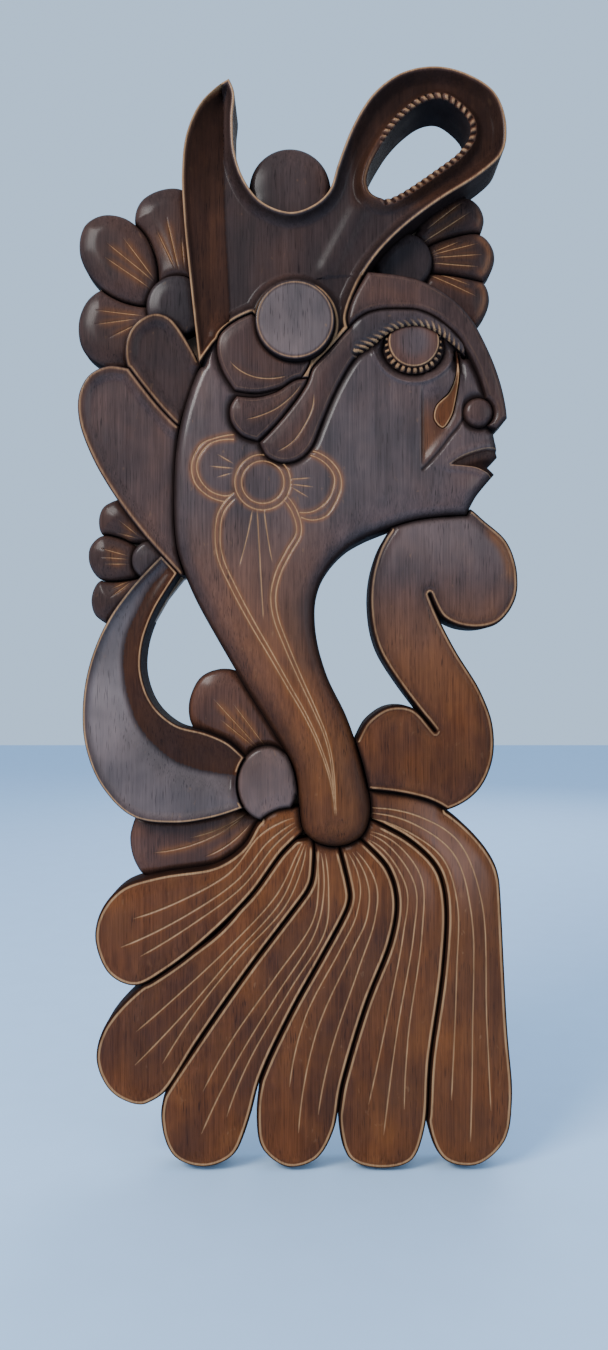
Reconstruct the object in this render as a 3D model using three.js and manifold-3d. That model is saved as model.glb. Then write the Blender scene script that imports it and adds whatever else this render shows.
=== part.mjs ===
// A pierced relief carving for the wall: a stylised head in profile on a long neck, over a fan of six
// petals.  Thick shaped segments of stained wood stand side by side on a thinner backer board, glued
// and pegged to it with dowels, and the whole hangs from a keyhole plate let into its back.
//
// Frame: millimetres, +Z up, +X to the right as seen from the front, the front faces -Y.  The back of
// the carving is the plane Y = 0, and the origin is the centre of the keyhole slot's round end on it.
// The pieces are drawn in plan, [x, z], and every height is counted forwards from the back plane.

import * as THREE from 'three';
import { mergeVertices } from 'three/addons/utils/BufferGeometryUtils.js';
import Module from 'manifold-3d';

const wasm = await Module();
wasm.setup();

// ---- Driving dimensions ----------------------------------------------------------------------

const OVERALL_WIDTH = 326;
const OVERALL_HEIGHT = 804;
const BACKER_THICKNESS = 9;
const SEAM_GAP = 0.3; // glue line between neighbouring pieces

// Heights of the front faces above the back plane.
const EAR_DISC_HEIGHT = 45;
const BROW_HEIGHT = 41;
const TUFT_HEIGHT = 40;
const CREST_HEIGHT = 39;
const HEAD_HEIGHT = 38;
const TEAR_HEIGHT = 37;
const EYE_HEIGHT = 36;
const SCROLL_HEIGHT = 34;
const CRESCENT_HEIGHT = 33;
const LEAF_HEIGHT = 32;
const SKIRT_HEIGHT = 30;
const BALL_HEIGHT = 24;
const BOSS_HEIGHT = 23;
const PETAL_HEIGHT = 20;

const DOWEL_RADIUS = 3;
const DOWEL_GRIP = 6; // depth in the backer, and again in the piece

const HANGER_PLATE_WIDTH = 18;
const HANGER_PLATE_LENGTH = 56;
const HANGER_PLATE_THICKNESS = 2;
const HANGER_PLATE_RISE = 19; // from the slot's round end up to the plate's upper end
const KEYHOLE_SLOT_RADIUS = 2.5;
const KEYHOLE_ENTRY_RADIUS = 5.5;
const KEYHOLE_DROP = 14; // from the slot's round end down to the entry hole's centre
const NAIL_ROOM = 1.5; // room all round the nail head behind the plate
const HANGER_BLOCK_WIDTH = 34;
const HANGER_BLOCK_MARGIN = 5; // wood beyond the plate's lower end
const SCREW_SHANK_RADIUS = 1.5;
const SCREW_HEAD_RADIUS = 3.2;
const SCREW_POINT_LENGTH = 1.2;
const SCREW_POINT_COVER = 1.5; // wood left in front of the screw's point
const SCREW_END_DISTANCE = 7; // from the plate's end to the screw

// ---- Outlines --------------------------------------------------------------------------------

const EDGE_TOLERANCE = 0.22; // how far a visible curve may stray from its true run
const HIDDEN_EDGE_TOLERANCE = 1;
const STEPS_PER_SPAN = 8;
const ROUND_SIDES = 26;
const PEG_SIDES = 12;
const corner = true; // marks a point where an outline turns sharply

// A smooth run through points [x, z], as finely stepped Vector2s.
function curveThrough(points, closed) {
  const knots = points.map(([x, z]) => new THREE.Vector3(x, z, 0));
  const curve = new THREE.CatmullRomCurve3(knots, closed, 'centripetal');
  return curve.getPoints(points.length * STEPS_PER_SPAN).map((p) => new THREE.Vector2(p.x, p.y));
}

// Distance of point p from the straight line between a and b.
function distanceToSegment(p, a, b) {
  const along = b.clone().sub(a);
  const lengthSq = along.lengthSq();
  const t = lengthSq === 0 ? 0 : THREE.MathUtils.clamp(p.clone().sub(a).dot(along) / lengthSq, 0, 1);
  return p.distanceTo(a.clone().addScaledVector(along, t));
}

// Leaves out the points that a run of points can spare within the tolerance.
function thinned(points, tolerance) {
  if (points.length < 3) {
    return points;
  }
  const first = points[0];
  const last = points[points.length - 1];
  const strays = points.map((p) => distanceToSegment(p, first, last));
  const worst = strays.indexOf(Math.max(...strays));
  if (strays[worst] < tolerance) {
    return [first, last];
  }
  const before = thinned(points.slice(0, worst + 1), tolerance);
  return [...before.slice(0, -1), ...thinned(points.slice(worst), tolerance)];
}

// A closed outline through points [x, z], smooth except at the points marked as corners.
function curvedOutline(points, tolerance = EDGE_TOLERANCE) {
  const corners = points.flatMap((point, i) => (point[2] ? [i] : []));
  if (corners.length === 0) {
    return thinned(curveThrough(points, true), tolerance).slice(0, -1);
  }
  return corners.flatMap((start, n) => {
    const end = corners[(n + 1) % corners.length];
    const spans = (end - start + points.length) % points.length || points.length;
    const run = Array.from({ length: spans + 1 }, (_, i) => points[(start + i) % points.length]);
    return thinned(curveThrough(run, false), tolerance).slice(0, -1);
  });
}

// A circle or an upright ellipse about [x, z].
function roundOutline(x, z, halfWidth, halfHeight = halfWidth) {
  return new THREE.EllipseCurve(x, z, halfWidth, halfHeight).getPoints(ROUND_SIDES).slice(0, -1);
}

// The crest: a hollowed horn on the left, a valley, and a strap that loops back on the right.
const CREST = curvedOutline([
  [-76, -80.5, corner], [-79.5, -48.5], [-83.5, -14], [-87, 22.5], [-88.5, 57], [-85.5, 84.5],
  [-76, 106.5], [-62.5, 120], [-54.5, 125, corner], [-50.5, 115], [-51.5, 96.5], [-50, 71.5],
  [-42.5, 50.5], [-30.5, 36], [-10, 28.5], [6.5, 33.5], [18, 44], [24.5, 63], [35, 90],
  [50.5, 114.5], [71, 129.5], [96.5, 134], [120, 128], [138.5, 115], [146.5, 94], [144, 71.5],
  [126, 54.5], [97.5, 36.5], [69, 14.5], [49, -7.5], [36, -31], [31, -48], [33, -60], [25, -73], [13, -87],
  [4, -99, corner], [-24.5, -64.5], [-37.5, -44, corner], [-51.5, -51], [-65, -65]
]);
const CREST_HOLE = curvedOutline([
  [45.5, 50], [48, 62], [55, 75.5], [63.5, 88.5], [75.5, 101], [88.5, 109.5], [100.5, 111],
  [112, 104], [120, 94], [120, 83], [112, 72], [99, 62], [87, 54], [72.5, 44], [59.5, 38.5],
  [49, 42]
]);
const EAR_DISC = roundOutline(-6.5, -51.5, 28.5);

// Three locks of hair that curl forwards below the ear disc; the lowest runs on as the upper eyelid.
const TUFT_UPPER = curvedOutline([
  [-37.5, -44, corner], [-51.5, -50.5], [-62, -60.5], [-63.5, -72], [-59.5, -86],
  [-50.5, -100.5, corner], [-34.5, -102.5], [-20, -99.5], [-3, -93.5, corner], [4.5, -79],
  [-3, -65], [-24.5, -57.5]
]);
const TUFT_MIDDLE = curvedOutline([
  [-49, -104, corner], [-54, -112], [-53, -123.5], [-45, -133.5], [-33.5, -137.5, corner],
  [-16, -120.5], [-3, -104], [6, -91, corner], [-6, -92.5], [-20, -101], [-34.5, -105]
]);
const TUFT_LOWER = curvedOutline([
  [-32.5, -138, corner], [-27.5, -148], [-16.5, -153], [-4.5, -151], [5, -142.5], [14.5, -120.5],
  [24, -99], [38.5, -75.5], [48.5, -69], [59, -60], [71, -54], [85, -53], [98, -58.5],
  [107.5, -66], [117.5, -74.5, corner], [114, -65], [104, -54.5], [92.5, -46.5], [81, -42.5],
  [68.5, -42], [56, -42.5], [45, -45.5], [34.5, -53], [26, -62], [16.5, -72.5], [6, -84],
  [1.5, -96], [-14.5, -118.5]
]);

// The face: a band from the brow down the nose, the eye, a tear beside the nose and the nostril.
const BROW_BAND = curvedOutline([
  [26, -58], [34.5, -35], [46, -14.5, corner], [66.5, -16.5], [84, -20.5], [102.5, -30],
  [120, -46.5], [133, -69.5], [142, -92.5], [146.5, -111.5], [147.5, -120.5, corner],
  [139.5, -129, corner], [133, -126], [132, -108.5], [127, -91], [122, -79], [114, -65.5],
  [104, -54.5], [92.5, -46.5], [81, -42.5], [68.5, -42], [56, -42.5], [45, -45.5], [34.5, -53]
]);
const EYE = roundOutline(80, -66.5, 22.5, 20.5);
const TEAR = curvedOutline([
  [111, -70.5, corner], [113.5, -87], [111, -104.5], [108, -118], [101, -127.5], [94.5, -121],
  [96, -111], [105.5, -101], [110.5, -87]
]);
const NOSTRIL = roundOutline(126.5, -116.5, 11);

// Head, lips, chin and the long neck in one piece.
const HEAD = curvedOutline([
  [-65, -65], [-76, -80], [-87, -108.5], [-93.5, -138], [-95.5, -173], [-93.5, -214],
  [-82.5, -245.5], [-64, -280], [-44, -314], [-23, -347.5], [-8.5, -374], [-4, -400], [-0.5, -421],
  [8, -429.5], [20.5, -433], [33.5, -431], [44, -423.5], [49, -407], [45, -380], [32, -339],
  [17, -307.5], [9, -278], [8.5, -252.5], [14.5, -234], [32, -214], [62.5, -199.5], [87, -193],
  [119, -190.5, corner], [126, -176.5], [140.5, -159, corner], [135, -154, corner],
  [142.5, -146.5, corner], [140, -136.5], [139, -127, corner], [142, -120], [138, -95],
  [122, -64], [95, -36], [55, -26], [19, -57], [-10, -78.5], [-46.5, -57, corner]
]);

// A ball cupped by the valley of the crest.
const CROWN_BALL_RISE = 54.5; // height of the ball's middle above the hanging point
const CROWN_BALL = roundOutline(-10.5, CROWN_BALL_RISE, 30.5);

// Flower behind the crest on the left.
const FLOWER_LEFT_PETAL_TOP = curvedOutline([
  [-113, -13.5, corner], [-117.5, 11], [-127, 33], [-122.5, 47.5], [-109, 56], [-92, 57],
  [-77, 46], [-77, -13.5]
]);
const FLOWER_LEFT_PETAL_OUTER = curvedOutline([
  [-109, -18, corner], [-110.5, 2], [-118.5, 22], [-133.5, 35], [-151, 37.5], [-164.5, 29.5],
  [-168.5, 11], [-161.5, -7], [-146.5, -22], [-129, -29.5], [-116.5, -30]
]);
const FLOWER_LEFT_PETAL_LOWER = curvedOutline([
  [-114.5, -22.5, corner], [-148.5, -17.5], [-162, -26], [-169, -42.5], [-166.5, -62],
  [-154.5, -74.5], [-136.5, -79], [-114.5, -73], [-107, -43.5]
]);
const FLOWER_LEFT_BOSS = roundOutline(-94.5, -32.5, 23);

// Flower behind the brow on the right.
const FLOWER_RIGHT_PETAL_TOP = curvedOutline([
  [78.5, 16, corner], [101, 46], [120.5, 51], [130.5, 45], [135, 34.5], [132.5, 23, corner],
  [108.5, 20], [90, 12.5]
]);
const FLOWER_RIGHT_PETAL_MIDDLE = curvedOutline([
  [86, 11, corner], [108.5, 20], [131.5, 23], [140, 15.5], [143, 5.5], [139.5, -6.5],
  [134, -13, corner], [112, -8], [90, -3.5]
]);
const FLOWER_RIGHT_PETAL_LOWER = curvedOutline([
  [86, -1.5, corner], [112, -6], [133.5, -12], [139, -24], [136.5, -36], [129, -47, corner],
  [108.5, -36], [90, -21]
]);
const FLOWER_RIGHT_BOSS = roundOutline(74, 0.5, 21.5);

// Two broad leaves behind the head.
const LEAF_UPPER = curvedOutline([
  [-128, -86, corner], [-131, -73], [-129, -58], [-121.5, -47.5], [-109, -42], [-98, -45.5],
  [-88, -58], [-77, -78, corner], [-72.5, -105.5], [-76, -135], [-92, -125.5, corner],
  [-102.5, -114.5], [-115.5, -99]
]);
const LEAF_LOWER = curvedOutline([
  [-128, -82.5, corner], [-142.5, -80.5], [-156.5, -86.5], [-164.5, -100], [-165, -119],
  [-156.5, -144.5], [-139.5, -174.5], [-117.5, -204], [-90, -234.5, corner], [-76, -223],
  [-76, -135], [-93.5, -123.5, corner], [-103, -114], [-115.5, -99]
]);

// Small flower where the crescent leaves the lower leaf.
const FLOWER_SIDE_PETAL_TOP = curvedOutline([
  [-114.5, -210, corner], [-129, -208], [-151, -202], [-154, -191], [-150.5, -181],
  [-140, -175, corner], [-122, -184]
]);
const FLOWER_SIDE_PETAL_MIDDLE = curvedOutline([
  [-118.5, -214, corner], [-137, -205], [-151.5, -202.5], [-160.5, -211], [-161, -223.5],
  [-153, -235], [-137, -236.5], [-118.5, -230.5]
]);
const FLOWER_SIDE_PETAL_LOWER = curvedOutline([
  [-118.5, -229, corner], [-138.5, -235.5], [-153.5, -236.5], [-159.5, -249], [-157, -261.5],
  [-147.5, -269, corner], [-126, -251]
]);
const FLOWER_SIDE_BOSS = roundOutline(-113.5, -221.5, 15);

// Crescent that swings out on the left and back in at the foot of the neck.
const CRESCENT = curvedOutline([
  [-104.5, -219.5, corner], [-124, -240], [-143, -266], [-155.5, -294.5], [-161.5, -325],
  [-160, -358], [-148, -388], [-125, -410.5], [-93.5, -415], [-64, -410.5], [-44.5, -404, corner],
  [-30.5, -387.5], [-43, -367.5, corner], [-56, -356], [-73.5, -348.5], [-93.5, -343],
  [-110, -328.5], [-118.5, -307], [-118, -285], [-109.5, -260.5], [-92, -232, corner]
]);

// Flower between the crescent and the neck.
const FLOWER_LOW_PETAL_UPPER = curvedOutline([
  [-77, -359, corner], [-86, -339], [-85.5, -323.5], [-76.5, -307.5], [-58, -302], [-40, -310.5],
  [-10.5, -370, corner], [-32.5, -381.5]
]);
const FLOWER_LOW_PETAL_LOWER = curvedOutline([
  [-125, -409, corner], [-130.5, -428], [-126.5, -447.5], [-114.5, -461], [-77, -459.5],
  [-40, -437], [-25.5, -414.5, corner], [-77, -400]
]);
const FLOWER_LOW_BOSS = roundOutline(-27, -386.5, 22.5, 27.5);

// S-shaped scroll from the jaw to the skirt on the right.
const SCROLL = curvedOutline([
  [88, -179.5], [62, -201.5], [50.5, -227], [47.5, -256], [53, -286], [70, -314.5],
  [96, -348, corner], [80, -331], [62, -329.5], [46, -340], [38, -354.5, corner], [35, -383.5],
  [44.5, -407], [77.5, -409], [106.5, -405.5], [127, -392.5], [138, -370.5], [138.5, -343.5],
  [129, -317.5], [111.5, -289], [100, -267], [92, -248, corner], [101.5, -265.5], [121, -273],
  [141.5, -269.5], [154.5, -253], [156.5, -232.5], [149, -209.5], [132, -193.5], [113.5, -179.5]
]);

// Six petals of the skirt, from the left round to the right.
const SKIRT_PETAL_1 = curvedOutline([
  [0.5, -403, corner], [-20.5, -406.5], [-33.5, -415], [-44.5, -432.5], [-64, -446], [-104, -453],
  [-134, -462.5], [-149.5, -480], [-154, -501], [-143.5, -527], [-124, -535.5], [-99.5, -523],
  [-67.5, -497.5], [-37.5, -467], [-16, -437.5], [0, -422, corner]
]);
const SKIRT_PETAL_2 = curvedOutline([
  [6, -426.5, corner], [-10.5, -429.5], [-31, -457], [-61.5, -494], [-98, -521.5],
  [-124.5, -539.5], [-147.5, -566.5], [-153, -590.5], [-141.5, -614], [-119.5, -623],
  [-102.5, -614, corner], [-72.5, -568.5], [-39.5, -521.5], [-9, -481], [5, -460],
  [7.5, -432.5, corner]
]);
const SKIRT_PETAL_3 = curvedOutline([
  [4.5, -430, corner], [3.5, -460], [-10.5, -480.5], [-42, -520.5], [-75, -567], [-99.5, -606],
  [-105.5, -633], [-96, -660.5], [-74, -668.5], [-52, -660], [-40.5, -634.5], [-31, -601],
  [-7.5, -551], [16, -508.5], [33.5, -472], [31.5, -457], [25, -430, corner]
]);
const SKIRT_PETAL_4 = curvedOutline([
  [23.5, -430, corner], [30, -457], [31.5, -475.5], [14.5, -508.5], [-9, -551], [-31, -601],
  [-35, -631.5], [-31, -655], [-12.5, -668.5], [9, -663], [22, -642], [28, -609], [45.5, -549.5],
  [64, -501], [68, -472], [61.5, -449], [42.5, -428, corner]
]);
const SKIRT_PETAL_5 = curvedOutline([
  [41, -426.5, corner], [60, -449], [66, -472], [62.5, -501], [44, -549.5], [28, -607.5],
  [25.5, -637], [33.5, -662.5], [55.5, -669.5], [79, -664], [89, -640.5], [93, -589],
  [102.5, -519.5], [104, -472], [97.5, -448.5], [77.5, -428.5], [47, -412, corner]
]);
const SKIRT_PETAL_6 = curvedOutline([
  [44.5, -391.5, corner], [69, -394], [96.5, -401.5], [124.5, -423], [142, -449], [145.5, -483],
  [150, -567], [153.5, -618.5], [148, -649.5], [127.5, -667], [103.5, -663.5], [91.5, -640.5],
  [92.5, -589], [102, -519.5], [103.5, -472], [96.5, -449], [77, -429.5], [45.5, -417.5, corner]
]);

// Backer board, set in from the visible edges and clear of the two open bays beside the neck.
const BACKER = curvedOutline([
  [-60, 92.5], [-54.5, 69], [-48, 51.5], [-41.5, 42, corner], [19, 37.5, corner], [30, 57],
  [38.5, 69], [45.5, 37.5], [64, 35.5], [92, 45.5], [108, 35.5], [121, 20.5], [127.5, -2.5],
  [121, -26], [121, -51.5], [134.5, -91.5], [138.5, -115], [133, -135.5], [131.5, -160.5],
  [118, -181.5, corner], [137, -205], [144, -229], [128.5, -246.5], [99.5, -236], [76, -246.5],
  [61.5, -243.5], [58.5, -223], [64, -201, corner], [58.5, -194], [33.5, -204], [13, -221.5],
  [3, -249.5], [3.5, -278.5], [11, -309], [25, -341.5], [32, -360.5, corner], [42.5, -360.5],
  [52.5, -347], [70, -337], [87.5, -343], [99.5, -356], [118, -343], [131.5, -354.5],
  [131.5, -373.5], [115.5, -392.5], [103.5, -402.5, corner], [118, -426], [134.5, -451],
  [138.5, -482], [144.5, -573.5], [143, -624.5], [124, -646.5], [99.5, -629], [87.5, -620, corner],
  [73, -645], [55.5, -652.5], [36.5, -642], [27.5, -611.5, corner], [13, -639], [-10, -652.5],
  [-27.5, -636], [-29, -602.5, corner], [-48, -636], [-73, -651], [-93.5, -637.5],
  [-98, -610, corner], [-119.5, -604], [-137, -589.5], [-134.5, -569], [-112.5, -538.5, corner],
  [-134.5, -515], [-140, -497.5], [-130, -474], [-111, -459.5, corner], [-118, -442], [-118, -426],
  [-114, -416, corner], [-138.5, -380.5], [-150.5, -354.5], [-140, -340], [-122.5, -337],
  [-99.5, -350], [-76, -359], [-76.5, -329.5], [-67, -315], [-51, -312], [-38, -315, corner],
  [-60, -277], [-77.5, -243.5], [-86, -232], [-100.5, -246.5], [-112.5, -265.5], [-122.5, -283],
  [-134.5, -281.5], [-140, -261], [-146, -245], [-150.5, -226], [-146, -208.5], [-143, -191],
  [-136, -176.5, corner], [-150.5, -141.5], [-157.5, -116.5], [-154.5, -96], [-141.5, -87.5],
  [-130, -87.5, corner], [-146, -71], [-156, -59.5], [-157.5, -42], [-152, -26], [-154.5, -5.5],
  [-157.5, 12], [-147.5, 23.5], [-127, 20.5], [-117, 35.5], [-99.5, 44], [-84.5, 44, corner],
  [-82, 65.5], [-76, 88], [-67, 101]
], HIDDEN_EDGE_TOLERANCE);

// ---- The carved pieces -------------------------------------------------------------------------

const WOOD_DARK = { color: 0x4a3732, roughness: 0.45, metalness: 0 };
const WOOD_WARM = { color: 0x5b3a2a, roughness: 0.45, metalness: 0 };
const WOOD_PLAIN = { color: 0x6e4f38, roughness: 0.8, metalness: 0 };
const WOOD_DOWEL = { color: 0xb08a5e, roughness: 0.8, metalness: 0 };
const STEEL = { color: 0x9a9a98, roughness: 0.35, metalness: 1 };

function piece(name, outline, height, finish, holes = []) {
  return { name, outline, height, finish, holes };
}

// In the order in which they lie over each other, the foremost first: each one is cut back to the
// edges of those before it.
const CARVED_PIECES = [
  piece('ear_disc', EAR_DISC, EAR_DISC_HEIGHT, WOOD_DARK),
  piece('nostril', NOSTRIL, BROW_HEIGHT, WOOD_DARK),
  piece('tuft_lower', TUFT_LOWER, TUFT_HEIGHT, WOOD_DARK),
  piece('tuft_middle', TUFT_MIDDLE, TUFT_HEIGHT, WOOD_DARK),
  piece('tuft_upper', TUFT_UPPER, TUFT_HEIGHT, WOOD_DARK),
  piece('tear', TEAR, TEAR_HEIGHT, WOOD_DARK),
  piece('eye', EYE, EYE_HEIGHT, WOOD_DARK),
  piece('crest', CREST, CREST_HEIGHT, WOOD_DARK, [CREST_HOLE]),
  piece('brow_band', BROW_BAND, BROW_HEIGHT, WOOD_DARK),
  piece('head', HEAD, HEAD_HEIGHT, WOOD_DARK),
  piece('skirt_petal_1', SKIRT_PETAL_1, SKIRT_HEIGHT, WOOD_WARM),
  piece('skirt_petal_2', SKIRT_PETAL_2, SKIRT_HEIGHT, WOOD_WARM),
  piece('skirt_petal_3', SKIRT_PETAL_3, SKIRT_HEIGHT, WOOD_WARM),
  piece('skirt_petal_4', SKIRT_PETAL_4, SKIRT_HEIGHT, WOOD_WARM),
  piece('skirt_petal_5', SKIRT_PETAL_5, SKIRT_HEIGHT, WOOD_WARM),
  piece('skirt_petal_6', SKIRT_PETAL_6, SKIRT_HEIGHT, WOOD_WARM),
  piece('flower_low_boss', FLOWER_LOW_BOSS, CRESCENT_HEIGHT, WOOD_DARK),
  piece('leaf_lower', LEAF_LOWER, LEAF_HEIGHT, WOOD_DARK),
  piece('leaf_upper', LEAF_UPPER, LEAF_HEIGHT, WOOD_DARK),
  piece('crescent', CRESCENT, CRESCENT_HEIGHT, WOOD_DARK),
  piece('scroll', SCROLL, SCROLL_HEIGHT, WOOD_DARK),
  piece('crown_ball', CROWN_BALL, BALL_HEIGHT, WOOD_DARK),
  piece('flower_side_boss', FLOWER_SIDE_BOSS, BOSS_HEIGHT, WOOD_DARK),
  piece('flower_side_petal_middle', FLOWER_SIDE_PETAL_MIDDLE, PETAL_HEIGHT, WOOD_DARK),
  piece('flower_side_petal_top', FLOWER_SIDE_PETAL_TOP, PETAL_HEIGHT, WOOD_DARK),
  piece('flower_side_petal_lower', FLOWER_SIDE_PETAL_LOWER, PETAL_HEIGHT, WOOD_DARK),
  piece('flower_low_petal_upper', FLOWER_LOW_PETAL_UPPER, PETAL_HEIGHT, WOOD_DARK),
  piece('flower_low_petal_lower', FLOWER_LOW_PETAL_LOWER, PETAL_HEIGHT, WOOD_DARK),
  piece('flower_left_boss', FLOWER_LEFT_BOSS, BOSS_HEIGHT, WOOD_DARK),
  piece('flower_left_petal_outer', FLOWER_LEFT_PETAL_OUTER, PETAL_HEIGHT, WOOD_DARK),
  piece('flower_left_petal_top', FLOWER_LEFT_PETAL_TOP, PETAL_HEIGHT, WOOD_DARK),
  piece('flower_left_petal_lower', FLOWER_LEFT_PETAL_LOWER, PETAL_HEIGHT, WOOD_DARK),
  piece('flower_right_boss', FLOWER_RIGHT_BOSS, BOSS_HEIGHT, WOOD_DARK),
  piece('flower_right_petal_middle', FLOWER_RIGHT_PETAL_MIDDLE, PETAL_HEIGHT, WOOD_DARK),
  piece('flower_right_petal_top', FLOWER_RIGHT_PETAL_TOP, PETAL_HEIGHT, WOOD_DARK),
  piece('flower_right_petal_lower', FLOWER_RIGHT_PETAL_LOWER, PETAL_HEIGHT, WOOD_DARK),
];

// Where the dowels stand, as [x, z] on the drawing.
const DOWEL_PLACES = {
  crest_left: [-66, -30],
  crest_right: [44, 18],
  ear_disc: [-7, -60],
  head_cheek: [62, -160],
  head_nape: [-58, -200],
  leaf_upper: [-98, -88],
  leaf_lower: [-132, -135],
  crescent_top: [-120, -246],
  crescent_foot: [-120, -372],
  scroll_top: [110, -214],
  scroll_foot: [104, -366],
  skirt_petal_1: [-100, -482],
  skirt_petal_2: [-86, -545],
  skirt_petal_3: [-48, -590],
  skirt_petal_4: [10, -590],
  skirt_petal_5: [62, -575],
  skirt_petal_6: [122, -550],
};

const drawn = new THREE.Box2().setFromPoints(CARVED_PIECES.flatMap(({ outline }) => outline));
const drawnSize = drawn.getSize(new THREE.Vector2());
const drawingScale = new THREE.Vector2(OVERALL_WIDTH, OVERALL_HEIGHT).divide(drawnSize);

// Points of the drawing brought to the overall sizes; the hanging point stays where it is.
function fitted(points) {
  return points.map((p) => p.clone().multiply(drawingScale));
}

// ---- Solids ------------------------------------------------------------------------------------

const SMOOTH_TURN = 0.8; // cosine of the sharpest turn that a let-out outline keeps as one point
const NOTCH_SHARE = 0.97;
const THROUGH = 100; // reach of a cutter that goes right through any piece

function solidOf(geometry) {
  const bare = geometry.clone();
  bare.deleteAttribute('normal');
  bare.deleteAttribute('uv');
  const merged = mergeVertices(bare);
  return new wasm.Manifold(new wasm.Mesh({
    numProp: 3,
    vertProperties: merged.attributes.position.array,
    triVerts: new Uint32Array(merged.index.array),
  }));
}

function geometryOf(solid) {
  const { vertProperties, triVerts } = solid.getMesh();
  const geometry = new THREE.BufferGeometry();
  geometry.setAttribute('position', new THREE.BufferAttribute(vertProperties, 3));
  geometry.setIndex(new THREE.BufferAttribute(triVerts, 1));
  geometry.computeVertexNormals();
  return geometry;
}

// A straight-sided board with the given outline, from one height to another.
function board(outline, from, to) {
  const shape = new THREE.Shape(outline);
  const geometry = new THREE.ExtrudeGeometry(shape, { depth: to - from, bevelEnabled: false });
  return solidOf(geometry.translate(0, 0, from));
}

// A rectangle as an outline.
function rectangle(left, right, bottom, top) {
  const corners = [[left, bottom], [right, bottom], [right, top], [left, top]];
  return corners.map(([x, z]) => new THREE.Vector2(x, z));
}

// An upright slot with round ends of the given radius about z = upper and z = lower.
function slot(radius, upper, lower) {
  const path = new THREE.Path();
  path.absarc(0, upper, radius, 0, Math.PI);
  path.absarc(0, lower, radius, Math.PI, 2 * Math.PI);
  return path.getPoints(PEG_SIDES);
}

// An outline let out by a margin all round.  Each point moves out along the normals of both edges
// that meet in it, and what lands nearer to the outline than the margin, in a notch, is left out.
function letOut(outline, margin) {
  const loop = THREE.ShapeUtils.isClockWise(outline) ? [...outline].reverse() : outline;
  const next = (i) => loop[(i + 1) % loop.length];
  const normals = loop.map((p, i) => {
    const edge = next(i).clone().sub(p).normalize();
    return new THREE.Vector2(edge.y, -edge.x);
  });
  const moved = loop.flatMap((p, i) => {
    const pair = [normals[(i + loop.length - 1) % loop.length], normals[i]];
    if (pair[0].dot(pair[1]) < SMOOTH_TURN) {
      return pair.map((normal) => p.clone().addScaledVector(normal, margin));
    }
    const middle = pair[0].clone().add(pair[1]).normalize();
    return [p.clone().addScaledVector(middle, margin / middle.dot(pair[0]))];
  });
  return moved.filter((p) => {
    const distances = loop.map((a, i) => distanceToSegment(p, a, next(i)));
    return Math.min(...distances) > NOTCH_SHARE * margin;
  });
}

// Cuts each of the cutters from a solid, one after another.
function cutBy(solid, cutters) {
  return cutters.reduce((rest, cutter) => rest.subtract(cutter), solid);
}

const relief = new THREE.Group();
relief.name = 'relief';
relief.rotation.x = Math.PI / 2; // plan [x, z] upright, heights forwards along -Y

function place(name, geometry, finish, x = 0, z = 0, height = 0) {
  const mesh = new THREE.Mesh(geometry, new THREE.MeshStandardMaterial(finish));
  mesh.name = name;
  mesh.position.set(x, z, height);
  relief.add(mesh);
}

// ---- Dowels ------------------------------------------------------------------------------------

const dowelGeometry = new THREE.CylinderGeometry(DOWEL_RADIUS, DOWEL_RADIUS, 2 * DOWEL_GRIP, PEG_SIDES)
  .rotateX(Math.PI / 2);
const dowelHole = solidOf(new THREE.CylinderGeometry(
  DOWEL_RADIUS + SEAM_GAP,
  DOWEL_RADIUS + SEAM_GAP,
  2 * (DOWEL_GRIP + SEAM_GAP),
  PEG_SIDES,
).rotateX(Math.PI / 2));

const dowels = Object.entries(DOWEL_PLACES).map(([name, [x, z]]) => {
  const [middle] = fitted([new THREE.Vector2(x, z)]);
  return { name: `dowel_${name}`, middle, hole: dowelHole.translate(middle.x, middle.y, BACKER_THICKNESS) };
});
const dowelHoles = dowels.map(({ hole }) => hole);

// ---- Hanger ------------------------------------------------------------------------------------

const plateUpperRound = HANGER_PLATE_RISE - HANGER_PLATE_WIDTH / 2;
const plateLowerRound = HANGER_PLATE_RISE - HANGER_PLATE_LENGTH + HANGER_PLATE_WIDTH / 2;
const screwHeights = {
  upper: HANGER_PLATE_RISE - SCREW_END_DISTANCE,
  lower: HANGER_PLATE_RISE - HANGER_PLATE_LENGTH + SCREW_END_DISTANCE,
};
const nailHalfWidth = KEYHOLE_ENTRY_RADIUS + NAIL_ROOM;
const blockBottom = HANGER_PLATE_RISE - HANGER_PLATE_LENGTH - HANGER_BLOCK_MARGIN;
const blockTop = CROWN_BALL_RISE * drawingScale.y;

// The hanger block's space, let out by a margin, and as deep as asked.
function blockSpace(margin, from, to, top = blockTop) {
  const halfWidth = HANGER_BLOCK_WIDTH / 2 + margin;
  return board(rectangle(-halfWidth, halfWidth, blockBottom - margin, top + margin), from, to);
}

// A countersunk screw standing on z = 0 with its head there.  A cutter for it is let out by a margin
// and starts behind the plate's face.
function screw(margin = 0, start = 0) {
  const headSlope = (SCREW_HEAD_RADIUS - SCREW_SHANK_RADIUS) / HANGER_PLATE_THICKNESS;
  const length = BACKER_THICKNESS - SCREW_POINT_COVER;
  const profile = [
    [0, start],
    [SCREW_HEAD_RADIUS + margin - headSlope * start, start],
    [SCREW_SHANK_RADIUS + margin, HANGER_PLATE_THICKNESS],
    [SCREW_SHANK_RADIUS + margin, length - SCREW_POINT_LENGTH],
    [0, length + margin],
  ];
  const points = profile.map(([radius, height]) => new THREE.Vector2(radius, height));
  return new THREE.LatheGeometry(points, PEG_SIDES).rotateX(Math.PI / 2);
}

const screwHoles = Object.values(screwHeights).map((z) => solidOf(screw(SEAM_GAP, -1)).translate(0, z, 0));

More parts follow.
